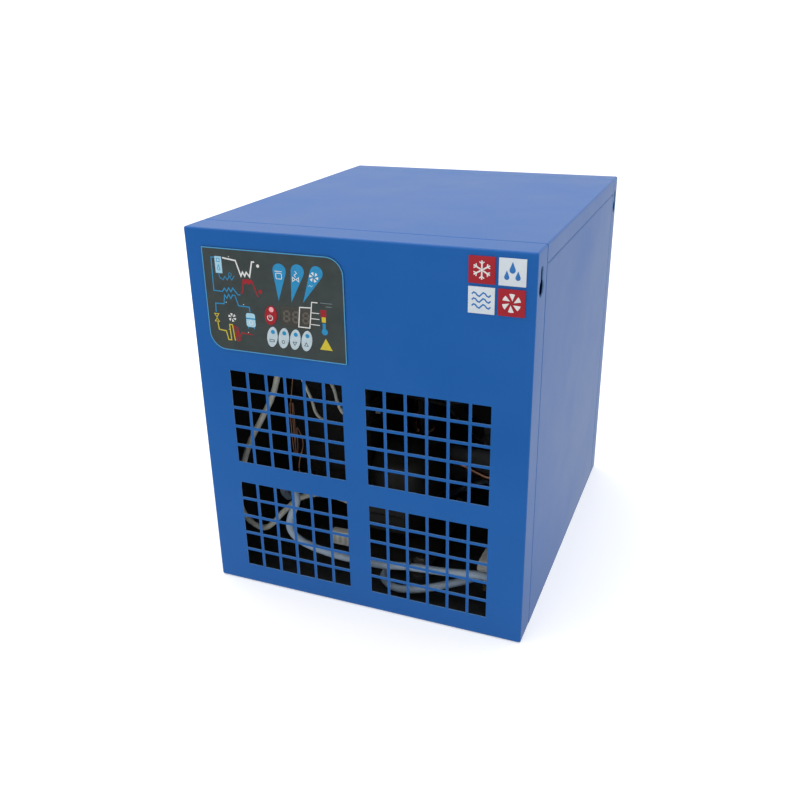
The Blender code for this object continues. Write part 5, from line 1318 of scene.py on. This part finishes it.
# ---------------------------------------------------------------- heat exchanger and fittings
def make_exchanger(sizes):
    """Exchanger wrapped in foam sheet, with its butt seams and bands of tape."""
    low, high = BLOCK_LOW, BLOCK_HIGH
    wrap = Work("exchanger_wrap")
    wrap.take(block(low, high, 0.009, 5), foam())
    for z in (low.z + 0.040, (low.z + high.z) / 2, high.z - 0.044):
        wrap.take(block((low.x - 0.0005, low.y - 0.0005, z - 0.012),
                        (high.x + GAP, high.y + 0.0005, z + 0.012), 0.0086, 5), black_plastic())
    seam = (low.y + high.y) / 2 + 0.02
    wrap.take(block((low.x - 0.0004, seam - 0.0012, low.z + 0.010),
                    (low.x + 0.004, seam + 0.0012, high.z - 0.010), 0.0004, 1), rubber())
    wrap.done("cabinet", "foam", "heat_exchanger")
    for word in ("inlet", "outlet"):
        low, high, middle = span(word + "_port")
        face = high.y
        flange = REAR_Y + GAP
        fitting = Work(word + "_fitting")
        fitting.take(hexagon((middle.x, middle.z), 0.030 / math.sqrt(3), flange, face, "Y", 0.0008,
                             0.0108, 30), brass())
        profile = [(0.0130, flange + 0.002), (0.0130, low.y), (0.0085, low.y),
                   (0.0085, face - 0.022)]
        thread = []
        count = 11
        for i in range(count):
            y = face - 0.0215 + i * 0.0018
            thread += [(0.0093, y), (0.0104, y + 0.0009)]
        profile += thread + [(0.0100, face - 0.0012), (0.0112, face - 0.0001),
                             (0.0112, flange + 0.002), (0.0130, flange + 0.002)]
        fitting.take(lathe(profile, (middle.x, 0, middle.z), "Y", 48), brass())
        fitting.done("cabinet", "brass", word + "_port")
        low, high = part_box(word + "_pipe")
        x, entry = middle.x, 0.048
        bend = (middle.z - BLOCK_HIGH.z) * 0.62
        route = [(x, high.y, middle.z), (x, entry + bend * 1.6, middle.z),
                 (x, entry + bend, middle.z - bend * 0.04),
                 (x, entry + bend * 0.3, middle.z - bend * 0.3), (x, entry, middle.z - bend),
                 (x, entry, BLOCK_HIGH.z + GAP)]
        line = Work(word + "_air_pipe")
        line.take(pipe(route, 0.0110, 0.005, 6), copper())
        line.take(lathe([(0.0112, 0.006), (0.0124, 0.005), (0.0124, 0), (0.0112, 0)],
                        (x, high.y - 0.006, middle.z), "Y", 40), brass())
        line.done("cabinet", "copper", word + "_pipe")


def make_outlets(sizes):
    """Drain barb, cable gland and the screws of the rear panel."""
    middle = span("drain_port")[2]
    barb, out = 0.0072, 0.020
    profile = [(0.0040, out), (barb * 0.82, out), (barb, out * 0.72), (barb * 0.8, out * 0.70),
               (barb, out * 0.42), (barb * 0.8, out * 0.40), (barb * 0.8, out * 0.22),
               (barb * 1.35, out * 0.2), (barb * 1.35, 0.0003), (0.0062, 0.0003), (0.0062, -0.016),
               (0.0040, -0.016), (0.0040, out)]
    work = Work("drain_barb")
    work.take(lathe(profile, (middle.x, REAR_Y, middle.z), "Y", 40), brass())
    work.done("cabinet", "brass", "drain_port")

    middle = span("cable_gland")[2]
    nut, out = 0.0120, 0.024
    profile = [(0.0045, out), (nut * 0.56, out), (nut * 0.66, out * 0.97),
               (nut * 0.80, out * 0.82), (nut * 0.84, out * 0.42), (nut * 0.80, out * 0.38),
               (nut * 0.80, 0.0003), (0.0092, 0.0003), (0.0092, -0.014), (0.0045, -0.014),
               (0.0045, out)]
    gland = Work("gland_body")
    gland.take(lathe(profile, (middle.x, REAR_Y, middle.z), "Y", 40), black_plastic())
    gland.take(hexagon((middle.x, middle.z), nut, REAR_Y + GAP, REAR_Y + out * 0.36, "Y", 0.0006,
                       nut * 0.72), black_plastic())
    for a in range(12):
        flute = block((-0.0006, out * 0.44, nut * 0.80), (0.0006, out * 0.80, nut * 0.86),
                      0.0002, 1)
        gland.take(turned(flute, (middle.x, REAR_Y, middle.z), a * math.pi / 6), black_plastic())
    gland.done("cabinet", "black_plastic", "cable_gland")

    for number in range(1, 5):
        middle = span("rear_panel_screw_%d" % number)[2]
        seat = REAR_Y + GAP
        screw = Work("panel_screw_%d" % number)
        head = rounded([(0, 0.0008), (0.0040, 0.0008), (0.0048, 0.0004), (0.0048, 0), (0.0024, 0),
                        (0.0024, -0.008), (0, -0.008)], 0.0003, 2)
        screw.take(lathe(head, (middle.x, seat, middle.z), "Y", 32), zinc())
        screw.take(hexagon((middle.x, middle.z), 0.0040, seat + 0.0005, seat + 0.0034, "Y", 0.0004,
                           turn=number * 17), zinc())
        screw.done("cabinet", "zinc", "rear_panel_screw_%d" % number)


def make_condensate_valves(sizes):
    low, high, middle = span("strainer_ball_valve")
    length, r = high.y - low.y, 0.0105
    profile = rounded([(0, length), (r, length), (r, length * 0.82), (r * 0.72, length * 0.8),
                       (r * 0.72, length * 0.72), (r * 1.0, length * 0.68),
                       (r * 1.12, length * 0.60), (r * 1.12, length * 0.42),
                       (r * 1.0, length * 0.34), (r * 0.72, length * 0.30),
                       (r * 0.72, length * 0.22), (r * 0.9, length * 0.2), (r * 0.9, 0), (0, 0)],
                      0.0008)
    valve = Work("ball_valve_body")
    valve.take(lathe(profile, (middle.x, low.y, middle.z), "Y", 44), brass())
    valve.take(hexagon((middle.x, middle.z), r * 1.10,
                       high.y - 0.0082, high.y - 0.0002, "Y", 0.0005), brass())
    valve.done("cabinet", "brass", "strainer_ball_valve")

    low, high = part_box("drain_valve_lever")
    post = low.y + 0.040
    lever = Work("valve_lever")
    lever.take(lathe(rounded([(0, high.z - low.z), (0.0050, high.z - low.z), (0.0050, 0), (0, 0)],
                             0.0006),
                     (middle.x, post, low.z), "Z", 32), black_plastic())
    lever.take(block((middle.x - 0.0050, low.y, high.z - 0.0044),
                     (middle.x + 0.0050, post + 0.0050, high.z),
                     0.0014, 4), black_plastic())
    for i in range(4):
        y = low.y + 0.006 + i * 0.004
        lever.take(block((middle.x - 0.0038, y, high.z - 0.0006),
                         (middle.x + 0.0038, y + 0.0014, high.z),
                         0.0002, 1), black_plastic())
    lever.done("drain_lever", "black_plastic", "drain_valve_lever")

    valve_low, valve_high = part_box("drain_solenoid_valve")
    body = Work("solenoid_body")
    body.take(block(valve_low, valve_high, 0.0012, 3), brass())
    body.done("cabinet", "brass", "drain_solenoid_valve")
    low, high, middle = span("drain_solenoid_coil")
    coil = Work("solenoid_coil")
    coil.take(block((low.x + 0.001, low.y + 0.001, low.z),
                    (high.x - 0.001, high.y - 0.001, high.z - 0.0008),
                    0.0030, 4), white_plastic())
    coil.take(block((low.x, low.y, low.z + 0.005), (high.x, high.y, high.z - 0.006), 0.0035, 4),
              white_plastic())
    coil.take(hexagon((middle.x, middle.y), 0.0058, high.z - 0.0010, high.z, "Z"), zinc())
    coil.done("cabinet", "white_plastic", "drain_solenoid_coil")


def make_connector(sizes):
    low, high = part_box("wiring_connector")
    housing = Work("connector_housing")
    housing.take(block(low, high, 0.0025, 4), white_plastic())
    for i in range(3):
        x = low.x + 0.006 + i * 0.007
        housing.take(block((x - 0.0018, low.y - GAP, low.z + 0.004),
                           (x + 0.0018, low.y + 0.001, high.z - 0.004), 0.0006, 2), cable_sheath())
    housing.done("cabinet", "white_plastic", "wiring_connector")


# ---------------------------------------------------------------- pipes, hoses and cables
def valve_places():
    ball_low, ball_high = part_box("strainer_ball_valve")
    sol_low, sol_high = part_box("drain_solenoid_valve")
    return (ball_low + ball_high) / 2, (sol_low + sol_high) / 2, sol_high.x - sol_low.x


def make_hoses(sizes):
    ball, solenoid, width = valve_places()
    half = width / 2 + GAP
    start = BLOCK_LOW.y - 0.0446
    hose = Work("condensate_hose_run")
    hose.take(pipe([
        (ball.x, start, ball.z), (ball.x, start - 0.012, ball.z), (-0.138, -0.140, 0.082),
        (-0.118, -0.166, 0.108), (-0.100, -0.182, 0.116), (-0.092, -0.190, 0.104),
        (-0.099, -0.191, 0.085), (-0.103, -0.191, 0.068), (-0.095, -0.191, 0.055),
        (-0.076, -0.190, 0.046), (-0.040, -0.189, 0.040), (0.008, -0.189, 0.040),
        (0.047, -0.189, 0.0455), (0.090, -0.189, 0.049), (0.130, -0.189, 0.054),
        (0.152, -0.187, 0.050), (0.164, -0.178, 0.041), (0.167, -0.167, 0.033),
        (solenoid.x + half + 0.010, solenoid.y, solenoid.z),
        (solenoid.x + half, solenoid.y, solenoid.z)], 0.0045, 0.003, 5), hose_plastic())
    hose.done("cabinet", "hose", "condensate_hose")
    drain_low, drain_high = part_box("drain_port")
    x, z = (drain_low.x + drain_high.x) / 2, (drain_low.z + drain_high.z) / 2
    outlet = Work("drain_outlet_run")
    outlet.take(pipe([
        (solenoid.x - half, solenoid.y, solenoid.z),
        (solenoid.x - half - 0.006, solenoid.y, solenoid.z), (0.098, -0.176, 0.028),
        (0.060, -0.188, 0.018), (0.030, -0.186, 0.0105), (0.009, -0.172, 0.0080),
        (0.003, -0.150, 0.0072), (0.003, -0.060, 0.0070), (0.014, 0.040, 0.0070),
        (0.055, 0.105, 0.0080), (0.100, 0.150, 0.012), (x, 0.188, z),
        (x, drain_low.y - GAP, z)], 0.0045, 0.004, 5),
        hose_plastic())
    outlet.done("cabinet", "hose", "drain_outlet_hose")


def one_line(name, node, route, radius, material, slot, spacing=None):
    work = Work(name)
    work.take(pipe(route, radius, spacing, 3), material)
    work.done("cabinet", slot, node)


def make_refrigerant_lines(sizes):
    middle = (SHELL_LOW + SHELL_HIGH) / 2
    rear, seam = SHELL_HIGH.y + GAP, SHELL_LOW.z + SHELL_SEAM
    one_line("suction_pipe_foam", "suction_line", [
        (middle.x - 0.012, rear, seam), (middle.x - 0.012, rear + 0.010, seam),
        (-0.014, 0.024, 0.120), (-0.018, 0.028, 0.160), (-0.024, 0.026, 0.200),
        (-0.042, 0.018, 0.226), (BLOCK_HIGH.x + GAP, 0.018, 0.226)], 0.0065, foam(), "foam", 0.004)
    right = FAN_X + CORE_HALF
    y = (CORE_LOW.y + CORE_HIGH.y) / 2
    one_line("discharge_pipe", "discharge_line", [
        (middle.x + 0.020, rear, seam), (middle.x + 0.020, rear + 0.010, seam),
        (0.040, 0.020, 0.072), (0.085, 0.018, 0.060), (0.135, 0.022, 0.072), (0.162, 0.030, 0.105),
        (0.171, 0.045, 0.160), (0.172, 0.080, 0.222), (0.171, 0.130, 0.260), (0.160, 0.166, 0.268),
        (right - 0.016, y, 0.259),
        (right - 0.016, y, SHROUD_HIGH.z + GAP)], 0.0040, copper(), "copper", 0.003)
    drier_low, drier_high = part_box("filter_drier")
    drier = (drier_low + drier_high) / 2
    left = FAN_X - CORE_HALF
    one_line("liquid_pipe", "liquid_line", [
        (left - GAP, y, SHROUD_LOW.z + 0.006), (left - 0.010, y, SHROUD_LOW.z + 0.006),
        (-0.062, 0.164, 0.036), (-0.074, 0.159, 0.040), (drier.x, drier.y, 0.050),
        (drier.x, drier.y, drier_low.z - GAP)], 0.0030, copper(), "copper", 0.0025)
    r, length = 0.0100, drier_high.z - drier_low.z
    can = Work("drier_can")
    can.take(lathe(rounded([(0, length), (r * 0.3, length), (r * 0.36, length * 0.92),
                            (r, length * 0.8), (r, length * 0.2), (r * 0.36, length * 0.08),
                            (r * 0.3, 0), (0, 0)],
                           0.002),
                   (drier.x, drier.y, drier_low.z), "Z", 40), copper())
    can.done("cabinet", "copper", "filter_drier")
    low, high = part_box("hot_gas_valve")
    valve = (low + high) / 2
    r, length = 0.0125, high.z - low.z
    body = Work("hot_gas_valve_body")
    body.take(lathe(rounded([(0, length), (r * 0.8, length), (r * 0.8, length * 0.72),
                             (r, length * 0.7), (r, length * 0.4), (r * 1.25, length * 0.38),
                             (r * 1.25, length * 0.26), (r * 0.6, length * 0.22), (r * 0.6, 0),
                             (0, 0)], 0.0008),
                    (valve.x, valve.y, low.z), "Z", 40), brass())
    body.take(hexagon((valve.x, valve.y), r * 1.22,
                      low.z + length * 0.27, low.z + length * 0.37, "Z"), brass())
    body.done("cabinet", "brass", "hot_gas_valve")
    one_line("hot_gas_pipe", "hot_gas_line", [
        (valve.x, valve.y, low.z - GAP), (valve.x, valve.y, 0.240), (0.010, 0.020, 0.222),
        (0.060, 0.010, 0.216), (0.110, 0.014, 0.206), (0.146, 0.030, 0.196),
        (0.160, 0.040, 0.192)],
        0.0030, copper(), "copper", 0.003)
    route = [(drier.x, drier.y, drier_high.z + GAP), (drier.x, drier.y, 0.170),
             (-0.084, 0.150, 0.230), (-0.105, 0.118, 0.300), (-0.112, 0.090, 0.338),
             (-0.112, 0.020, 0.341), (-0.114, -0.050, 0.336), (-0.122, -0.088, 0.300),
             (-0.127, -0.108, 0.250)]
    centre, half_y, half_z, turns = Vector((-0.1280, -0.122, 0.161)), 0.0030, 0.035, 10
    for i in range(2, 2 * turns + 1):
        a = 2 * math.pi * i / turns
        drift = 0.0030 * (i / turns - 1)
        route.append((centre.x + drift, centre.y + half_y * math.cos(a),
                      centre.z + half_z * math.sin(a)))
    route += [(-0.121, -0.114, 0.138), (-0.123, -0.124, 0.112), (-0.118, -0.126, 0.080),
              (-0.112, -0.110, 0.060), (-0.104, -0.080, 0.060), (-0.104, BLOCK_LOW.y - GAP, 0.060)]
    one_line("capillary_run", "capillary_tube", route, 0.0008, copper(), "copper", 0.0022)


def sleeved_line(name, node, route, radius):
    """A cable whose run behind its lowest bend lies in a black sleeve."""
    path = smooth_path(route, 0.003)
    turn = next(i for i, place in enumerate(path) if place[1] > -0.130 and i > len(path) / 4)
    work = Work(name)
    work.take(pipe(path, radius, 0.003, 3), cable_sheath())
    work.take(pipe(path[turn:-2], radius + GAP, 0.003, 3), black_plastic())
    work.done("cabinet", "cable", node)


def make_cables(sizes):
    housing_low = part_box("control_housing")[0].z - GAP
    cover_low, cover_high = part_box("compressor_terminal_cover")
    cover = (cover_low + cover_high) / 2
    left = cover_low.x - GAP
    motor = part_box("fan_motor")[0].y - GAP
    one_line("compressor_lead", "compressor_cable", [
        (-0.104, -0.195, housing_low), (-0.104, -0.195, housing_low - 0.010),
        (-0.107, -0.184, 0.264), (-0.119, -0.178, 0.230), (-0.138, -0.177, 0.195),
        (-0.154, -0.177, 0.167), (-0.166, -0.177, 0.138), (-0.1755, -0.1768, 0.112),
        (-0.1790, -0.1766, 0.090), (-0.1765, -0.1766, 0.068), (-0.166, -0.177, 0.054),
        (-0.150, -0.178, 0.049), (-0.136, -0.178, 0.056), (-0.118, -0.172, 0.077),
        (-0.103, -0.160, 0.090), (-0.082, -0.148, 0.093), (-0.058, -0.142, 0.088),
        (left - 0.014, cover.y, 0.080),
        (left, cover.y, 0.080)], 0.0035, cable_sheath(), "cable", 0.003)
    sleeved_line("fan_lead", "fan_cable", [
        (-0.060, -0.192, housing_low), (-0.060, -0.192, housing_low - 0.010),
        (-0.059, -0.168, 0.262), (-0.057, -0.150, 0.234), (-0.054, -0.147, 0.215),
        (-0.049, -0.141, 0.200), (-0.044, -0.115, 0.190), (-0.038, -0.050, 0.184),
        (-0.018, -0.012, 0.174), (0.030, 0.010, 0.160), (FAN_X, motor - 0.016, FAN_Z + 0.012),
        (FAN_X, motor, FAN_Z + 0.012)],
        0.0020)
    sleeved_line("probe_lead", "probe_cable", [
        (-0.089, -0.192, housing_low), (-0.089, -0.192, housing_low - 0.010),
        (-0.088, -0.172, 0.258), (-0.086, -0.151, 0.218), (-0.082, -0.148, 0.199),
        (-0.074, -0.143, 0.189), (-0.062, -0.118, 0.176), (-0.050, -0.090, 0.166),
        (-0.044, -0.060, 0.160), (-0.046, -0.038, 0.158),
        (BLOCK_HIGH.x + GAP, -0.038, 0.158)], 0.0018)


# ---------------------------------------------------------------- parts kept from the model
def finish_kept_parts(sizes):
    """Give the parts whose modelled shape stays their own finishes."""
    kept = {
        # the base tray takes galvanised sheet darkened as painted shade
        "base_tray": painted_shade_galvanised, "rear_top_rail": galvanised, "exchanger_stand": galvanised,
        "fan_motor_bracket": galvanised, "compressor_base_plate": black_paint,
        "control_housing": black_plastic, "display_module": black_plastic,
        "hose_tie": black_plastic,
        "control_board": board_lacquer,
    }
    for node, material in kept.items():
        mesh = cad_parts[node].data
        mesh.materials.clear()
        mesh.materials.append(material())


# ---------------------------------------------------------------- stage
def make_stage(sizes):
    finishes = bpy.context.scene.dryer_finishes
    shape = bmesh.new()
    bmesh.ops.create_grid(shape, x_segments=8, y_segments=8, size=9.0)
    mesh = bpy.data.meshes.new("studio_floor")
    shape.to_mesh(mesh)
    shape.free()
    mesh.materials.append(floor_paper())
    floor = bpy.data.objects.new("studio_floor", mesh)
    floor.location.z = -0.0004
    bpy.context.scene.collection.objects.link(floor)

    world = bpy.data.worlds.new("studio")
    world.use_nodes = True
    tree = world.node_tree
    background = tree.nodes["Background"]
    background.inputs["Color"].default_value = (1.0, 1.0, 1.0, 1.0)
    heading = add(tree, "ShaderNodeTexCoord")
    split = add(tree, "ShaderNodeSeparateXYZ")
    behind = add(tree, "ShaderNodeMapRange", {"From Min": -1.0, "From Max": 1.0, "To Min": 0.88,
                                              "To Max": 0.92})
    rays = add(tree, "ShaderNodeLightPath")
    mirrored = add(tree, "ShaderNodeMix", {3: 0.76}, data_type="FLOAT")
    choose = add(tree, "ShaderNodeMix", {3: 1.2}, data_type="FLOAT")
    wire((heading, "Generated", split, "Vector"), (split, "Y", behind, "Value"),
         (rays, "Is Camera Ray", choose, 0), (rays, "Is Glossy Ray", mirrored, 0),
         (behind, "Result", mirrored, 2), (mirrored, 0, choose, 2),
         (choose, 0, background, "Strength"))
    bpy.context.scene.world = world

    lamp = bpy.data.lights.new("overhead_softbox", "AREA")
    lamp.shape = "SQUARE"
    lamp.size = 2.6
    lamp.energy = finishes.key_light
    holder = bpy.data.objects.new("overhead_softbox", lamp)
    holder.location = (-0.5, 0.1, 2.3)
    holder.rotation_euler = (Vector((0, 0, 0.2)) - holder.location).to_track_quat("-Z",
                                                                                  "Y").to_euler()
    bpy.context.scene.collection.objects.link(holder)

    azimuth, elevation, roll = math.radians(22.17), math.radians(23.3), math.radians(-0.99)
    back = Vector((math.sin(azimuth) * math.cos(elevation),
                   -math.cos(azimuth) * math.cos(elevation),
                   math.sin(elevation)))
    right = Vector((math.cos(azimuth), math.sin(azimuth), 0))
    up = back.cross(right)
    across = math.cos(roll) * right + math.sin(roll) * up
    upright = -math.sin(roll) * right + math.cos(roll) * up
    lens = bpy.data.cameras.new("studio_camera")
    lens.sensor_width = 36.0
    lens.lens = 38.9745
    lens.clip_start = 0.01
    camera = bpy.data.objects.new("studio_camera", lens)
    turn = Matrix((across, upright, back)).transposed().to_4x4()
    camera.matrix_world = Matrix.Translation((0.3515556, -0.9555892, 0.6062311)) @ turn
    bpy.context.scene.collection.objects.link(camera)
    bpy.context.scene.camera = camera
    bpy.context.scene.view_settings.view_transform = "Standard"
    bpy.context.scene.view_settings.look = "None"


# ---------------------------------------------------------------- operators and panel
class DRYER_OT_stage(bpy.types.Operator):
    """Floor, light and camera"""
    bl_idname = "dryer.stage"
    bl_label = "Stage"

    def execute(self, context):
        make_stage(context.scene.dryer_sizes)
        return {"FINISHED"}


class DRYER_OT_front_panel(bpy.types.Operator):
    """Fold and punch the front panel"""
    bl_idname = "dryer.front_panel"
    bl_label = "Front panel"

    def execute(self, context):
        make_front_panel(context.scene.dryer_sizes)
        return {"FINISHED"}


class DRYER_OT_rear_panel(bpy.types.Operator):
    """Fold and punch the rear panel"""
    bl_idname = "dryer.rear_panel"
    bl_label = "Rear panel"

    def execute(self, context):
        make_rear_panel(context.scene.dryer_sizes)
        return {"FINISHED"}


class DRYER_OT_top_cover(bpy.types.Operator):
    """Fold the top cover"""
    bl_idname = "dryer.top_cover"
    bl_label = "Top cover"

    def execute(self, context):
        make_top_cover(context.scene.dryer_sizes)
        return {"FINISHED"}


class DRYER_OT_side_panels(bpy.types.Operator):
    """Fold both side panels"""
    bl_idname = "dryer.side_panels"
    bl_label = "Side panels"

    def execute(self, context):
        make_side_panels(context.scene.dryer_sizes)
        return {"FINISHED"}


class DRYER_OT_seals(bpy.types.Operator):
    """Stick the foam strips behind the seams"""
    bl_idname = "dryer.seals"
    bl_label = "Seals"

    def execute(self, context):
        make_seals(context.scene.dryer_sizes)
        return {"FINISHED"}


class DRYER_OT_control_film(bpy.types.Operator):
    """Cut the control film and print its diagram"""
    bl_idname = "dryer.control_film"
    bl_label = "Control film"

    def execute(self, context):
        make_film(context.scene.dryer_sizes)
        return {"FINISHED"}


class DRYER_OT_keys(bpy.types.Operator):
    """Mould the five keys"""
    bl_idname = "dryer.keys"
    bl_label = "Keys"

    def execute(self, context):
        make_keys(context.scene.dryer_sizes)
        return {"FINISHED"}


class DRYER_OT_display(bpy.types.Operator):
    """Glaze the display with its three digits"""
    bl_idname = "dryer.display"
    bl_label = "Display"

    def execute(self, context):
        make_display(context.scene.dryer_sizes)
        return {"FINISHED"}


class DRYER_OT_badge(bpy.types.Operator):
    """Enamel the four squares of the badge"""
    bl_idname = "dryer.badge"
    bl_label = "Badge"

    def execute(self, context):
        make_badge(context.scene.dryer_sizes)
        return {"FINISHED"}


class DRYER_OT_compressor(bpy.types.Operator):
    """Weld the compressor's can and stand it on its grommets"""
    bl_idname = "dryer.compressor"
    bl_label = "Compressor"

    def execute(self, context):
        make_compressor(context.scene.dryer_sizes)
        return {"FINISHED"}


class DRYER_OT_condenser(bpy.types.Operator):
    """Stack the condenser's fins and bend its tubes"""
    bl_idname = "dryer.condenser"
    bl_label = "Condenser"

    def execute(self, context):
        make_condenser(context.scene.dryer_sizes)
        return {"FINISHED"}


class DRYER_OT_shroud(bpy.types.Operator):
    """Fold the shroud and draw out its collar"""
    bl_idname = "dryer.shroud"
    bl_label = "Fan shroud"

    def execute(self, context):
        make_shroud(context.scene.dryer_sizes)
        return {"FINISHED"}


class DRYER_OT_fan(bpy.types.Operator):
    """Mould the impeller and close its motor"""
    bl_idname = "dryer.fan"
    bl_label = "Fan"

    def execute(self, context):
        make_fan(context.scene.dryer_sizes)
        return {"FINISHED"}


class DRYER_OT_exchanger(bpy.types.Operator):
    """Wrap the heat exchanger and fit its ports and air pipes"""
    bl_idname = "dryer.exchanger"
    bl_label = "Heat exchanger"

    def execute(self, context):
        make_exchanger(context.scene.dryer_sizes)
        return {"FINISHED"}


class DRYER_OT_outlets(bpy.types.Operator):
    """Turn the drain barb, the cable gland and the rear screws"""
    bl_idname = "dryer.outlets"
    bl_label = "Outlets"

    def execute(self, context):
        make_outlets(context.scene.dryer_sizes)
        return {"FINISHED"}


class DRYER_OT_condensate_valves(bpy.types.Operator):
    """Turn the ball valve, its lever and the solenoid valve"""
    bl_idname = "dryer.condensate_valves"
    bl_label = "Condensate valves"

    def execute(self, context):
        make_condensate_valves(context.scene.dryer_sizes)
        return {"FINISHED"}


class DRYER_OT_connector(bpy.types.Operator):
    """Mould the wiring connector"""
    bl_idname = "dryer.connector"
    bl_label = "Wiring connector"

    def execute(self, context):
        make_connector(context.scene.dryer_sizes)
        return {"FINISHED"}


class DRYER_OT_hoses(bpy.types.Operator):
    """Run the condensate hoses"""
    bl_idname = "dryer.hoses"
    bl_label = "Hoses"

    def execute(self, context):
        make_hoses(context.scene.dryer_sizes)
        return {"FINISHED"}


class DRYER_OT_refrigerant_lines(bpy.types.Operator):
    """Bend the copper lines, the drier and the hot gas valve"""
    bl_idname = "dryer.refrigerant_lines"
    bl_label = "Refrigerant lines"

    def execute(self, context):
        make_refrigerant_lines(context.scene.dryer_sizes)
        return {"FINISHED"}


class DRYER_OT_cables(bpy.types.Operator):
    """Run the three cables"""
    bl_idname = "dryer.cables"
    bl_label = "Cables"

    def execute(self, context):
        make_cables(context.scene.dryer_sizes)
        return {"FINISHED"}


class DRYER_OT_kept_parts(bpy.types.Operator):
    """Finish the parts that keep their modelled shape"""
    bl_idname = "dryer.kept_parts"
    bl_label = "Kept parts"

    def execute(self, context):
        finish_kept_parts(context.scene.dryer_sizes)
        return {"FINISHED"}


OPERATORS = (
    DRYER_OT_stage, DRYER_OT_front_panel, DRYER_OT_rear_panel, DRYER_OT_top_cover,
    DRYER_OT_side_panels, DRYER_OT_seals, DRYER_OT_control_film, DRYER_OT_keys,
    DRYER_OT_display, DRYER_OT_badge,
    DRYER_OT_compressor, DRYER_OT_condenser, DRYER_OT_shroud, DRYER_OT_fan, DRYER_OT_exchanger,
    DRYER_OT_outlets, DRYER_OT_condensate_valves, DRYER_OT_connector, DRYER_OT_hoses,
    DRYER_OT_refrigerant_lines, DRYER_OT_cables, DRYER_OT_kept_parts,
)


class DRYER_PT_parts(bpy.types.Panel):
    """Sizes, finishes and a button for each part of the dryer"""
    bl_label = "Air Dryer"
    bl_idname = "DRYER_PT_parts"
    bl_space_type = "VIEW_3D"
    bl_region_type = "UI"
    bl_category = "Air Dryer"

    def draw(self, context):
        for settings in (context.scene.dryer_sizes, context.scene.dryer_finishes):
            column = self.layout.column(align=True)
            for name in settings.__annotations__:
                column.prop(settings, name)
        column = self.layout.column(align=True)
        for made in OPERATORS:
            column.operator(made.bl_idname)


CLASSES = (DryerSizes, DryerFinishes, *OPERATORS, DRYER_PT_parts)


def register():
    for made in CLASSES:
        bpy.utils.register_class(made)
    bpy.types.Scene.dryer_sizes = bpy.props.PointerProperty(type=DryerSizes)
    bpy.types.Scene.dryer_finishes = bpy.props.PointerProperty(type=DryerFinishes)


def unregister():
    del bpy.types.Scene.dryer_finishes
    del bpy.types.Scene.dryer_sizes
    for made in reversed(CLASSES):
        bpy.utils.unregister_class(made)


def main():
    register()
    for made in OPERATORS:
        getattr(bpy.ops.dryer, made.bl_idname.split(".")[1])()


if __name__ == "__main__":
    main()
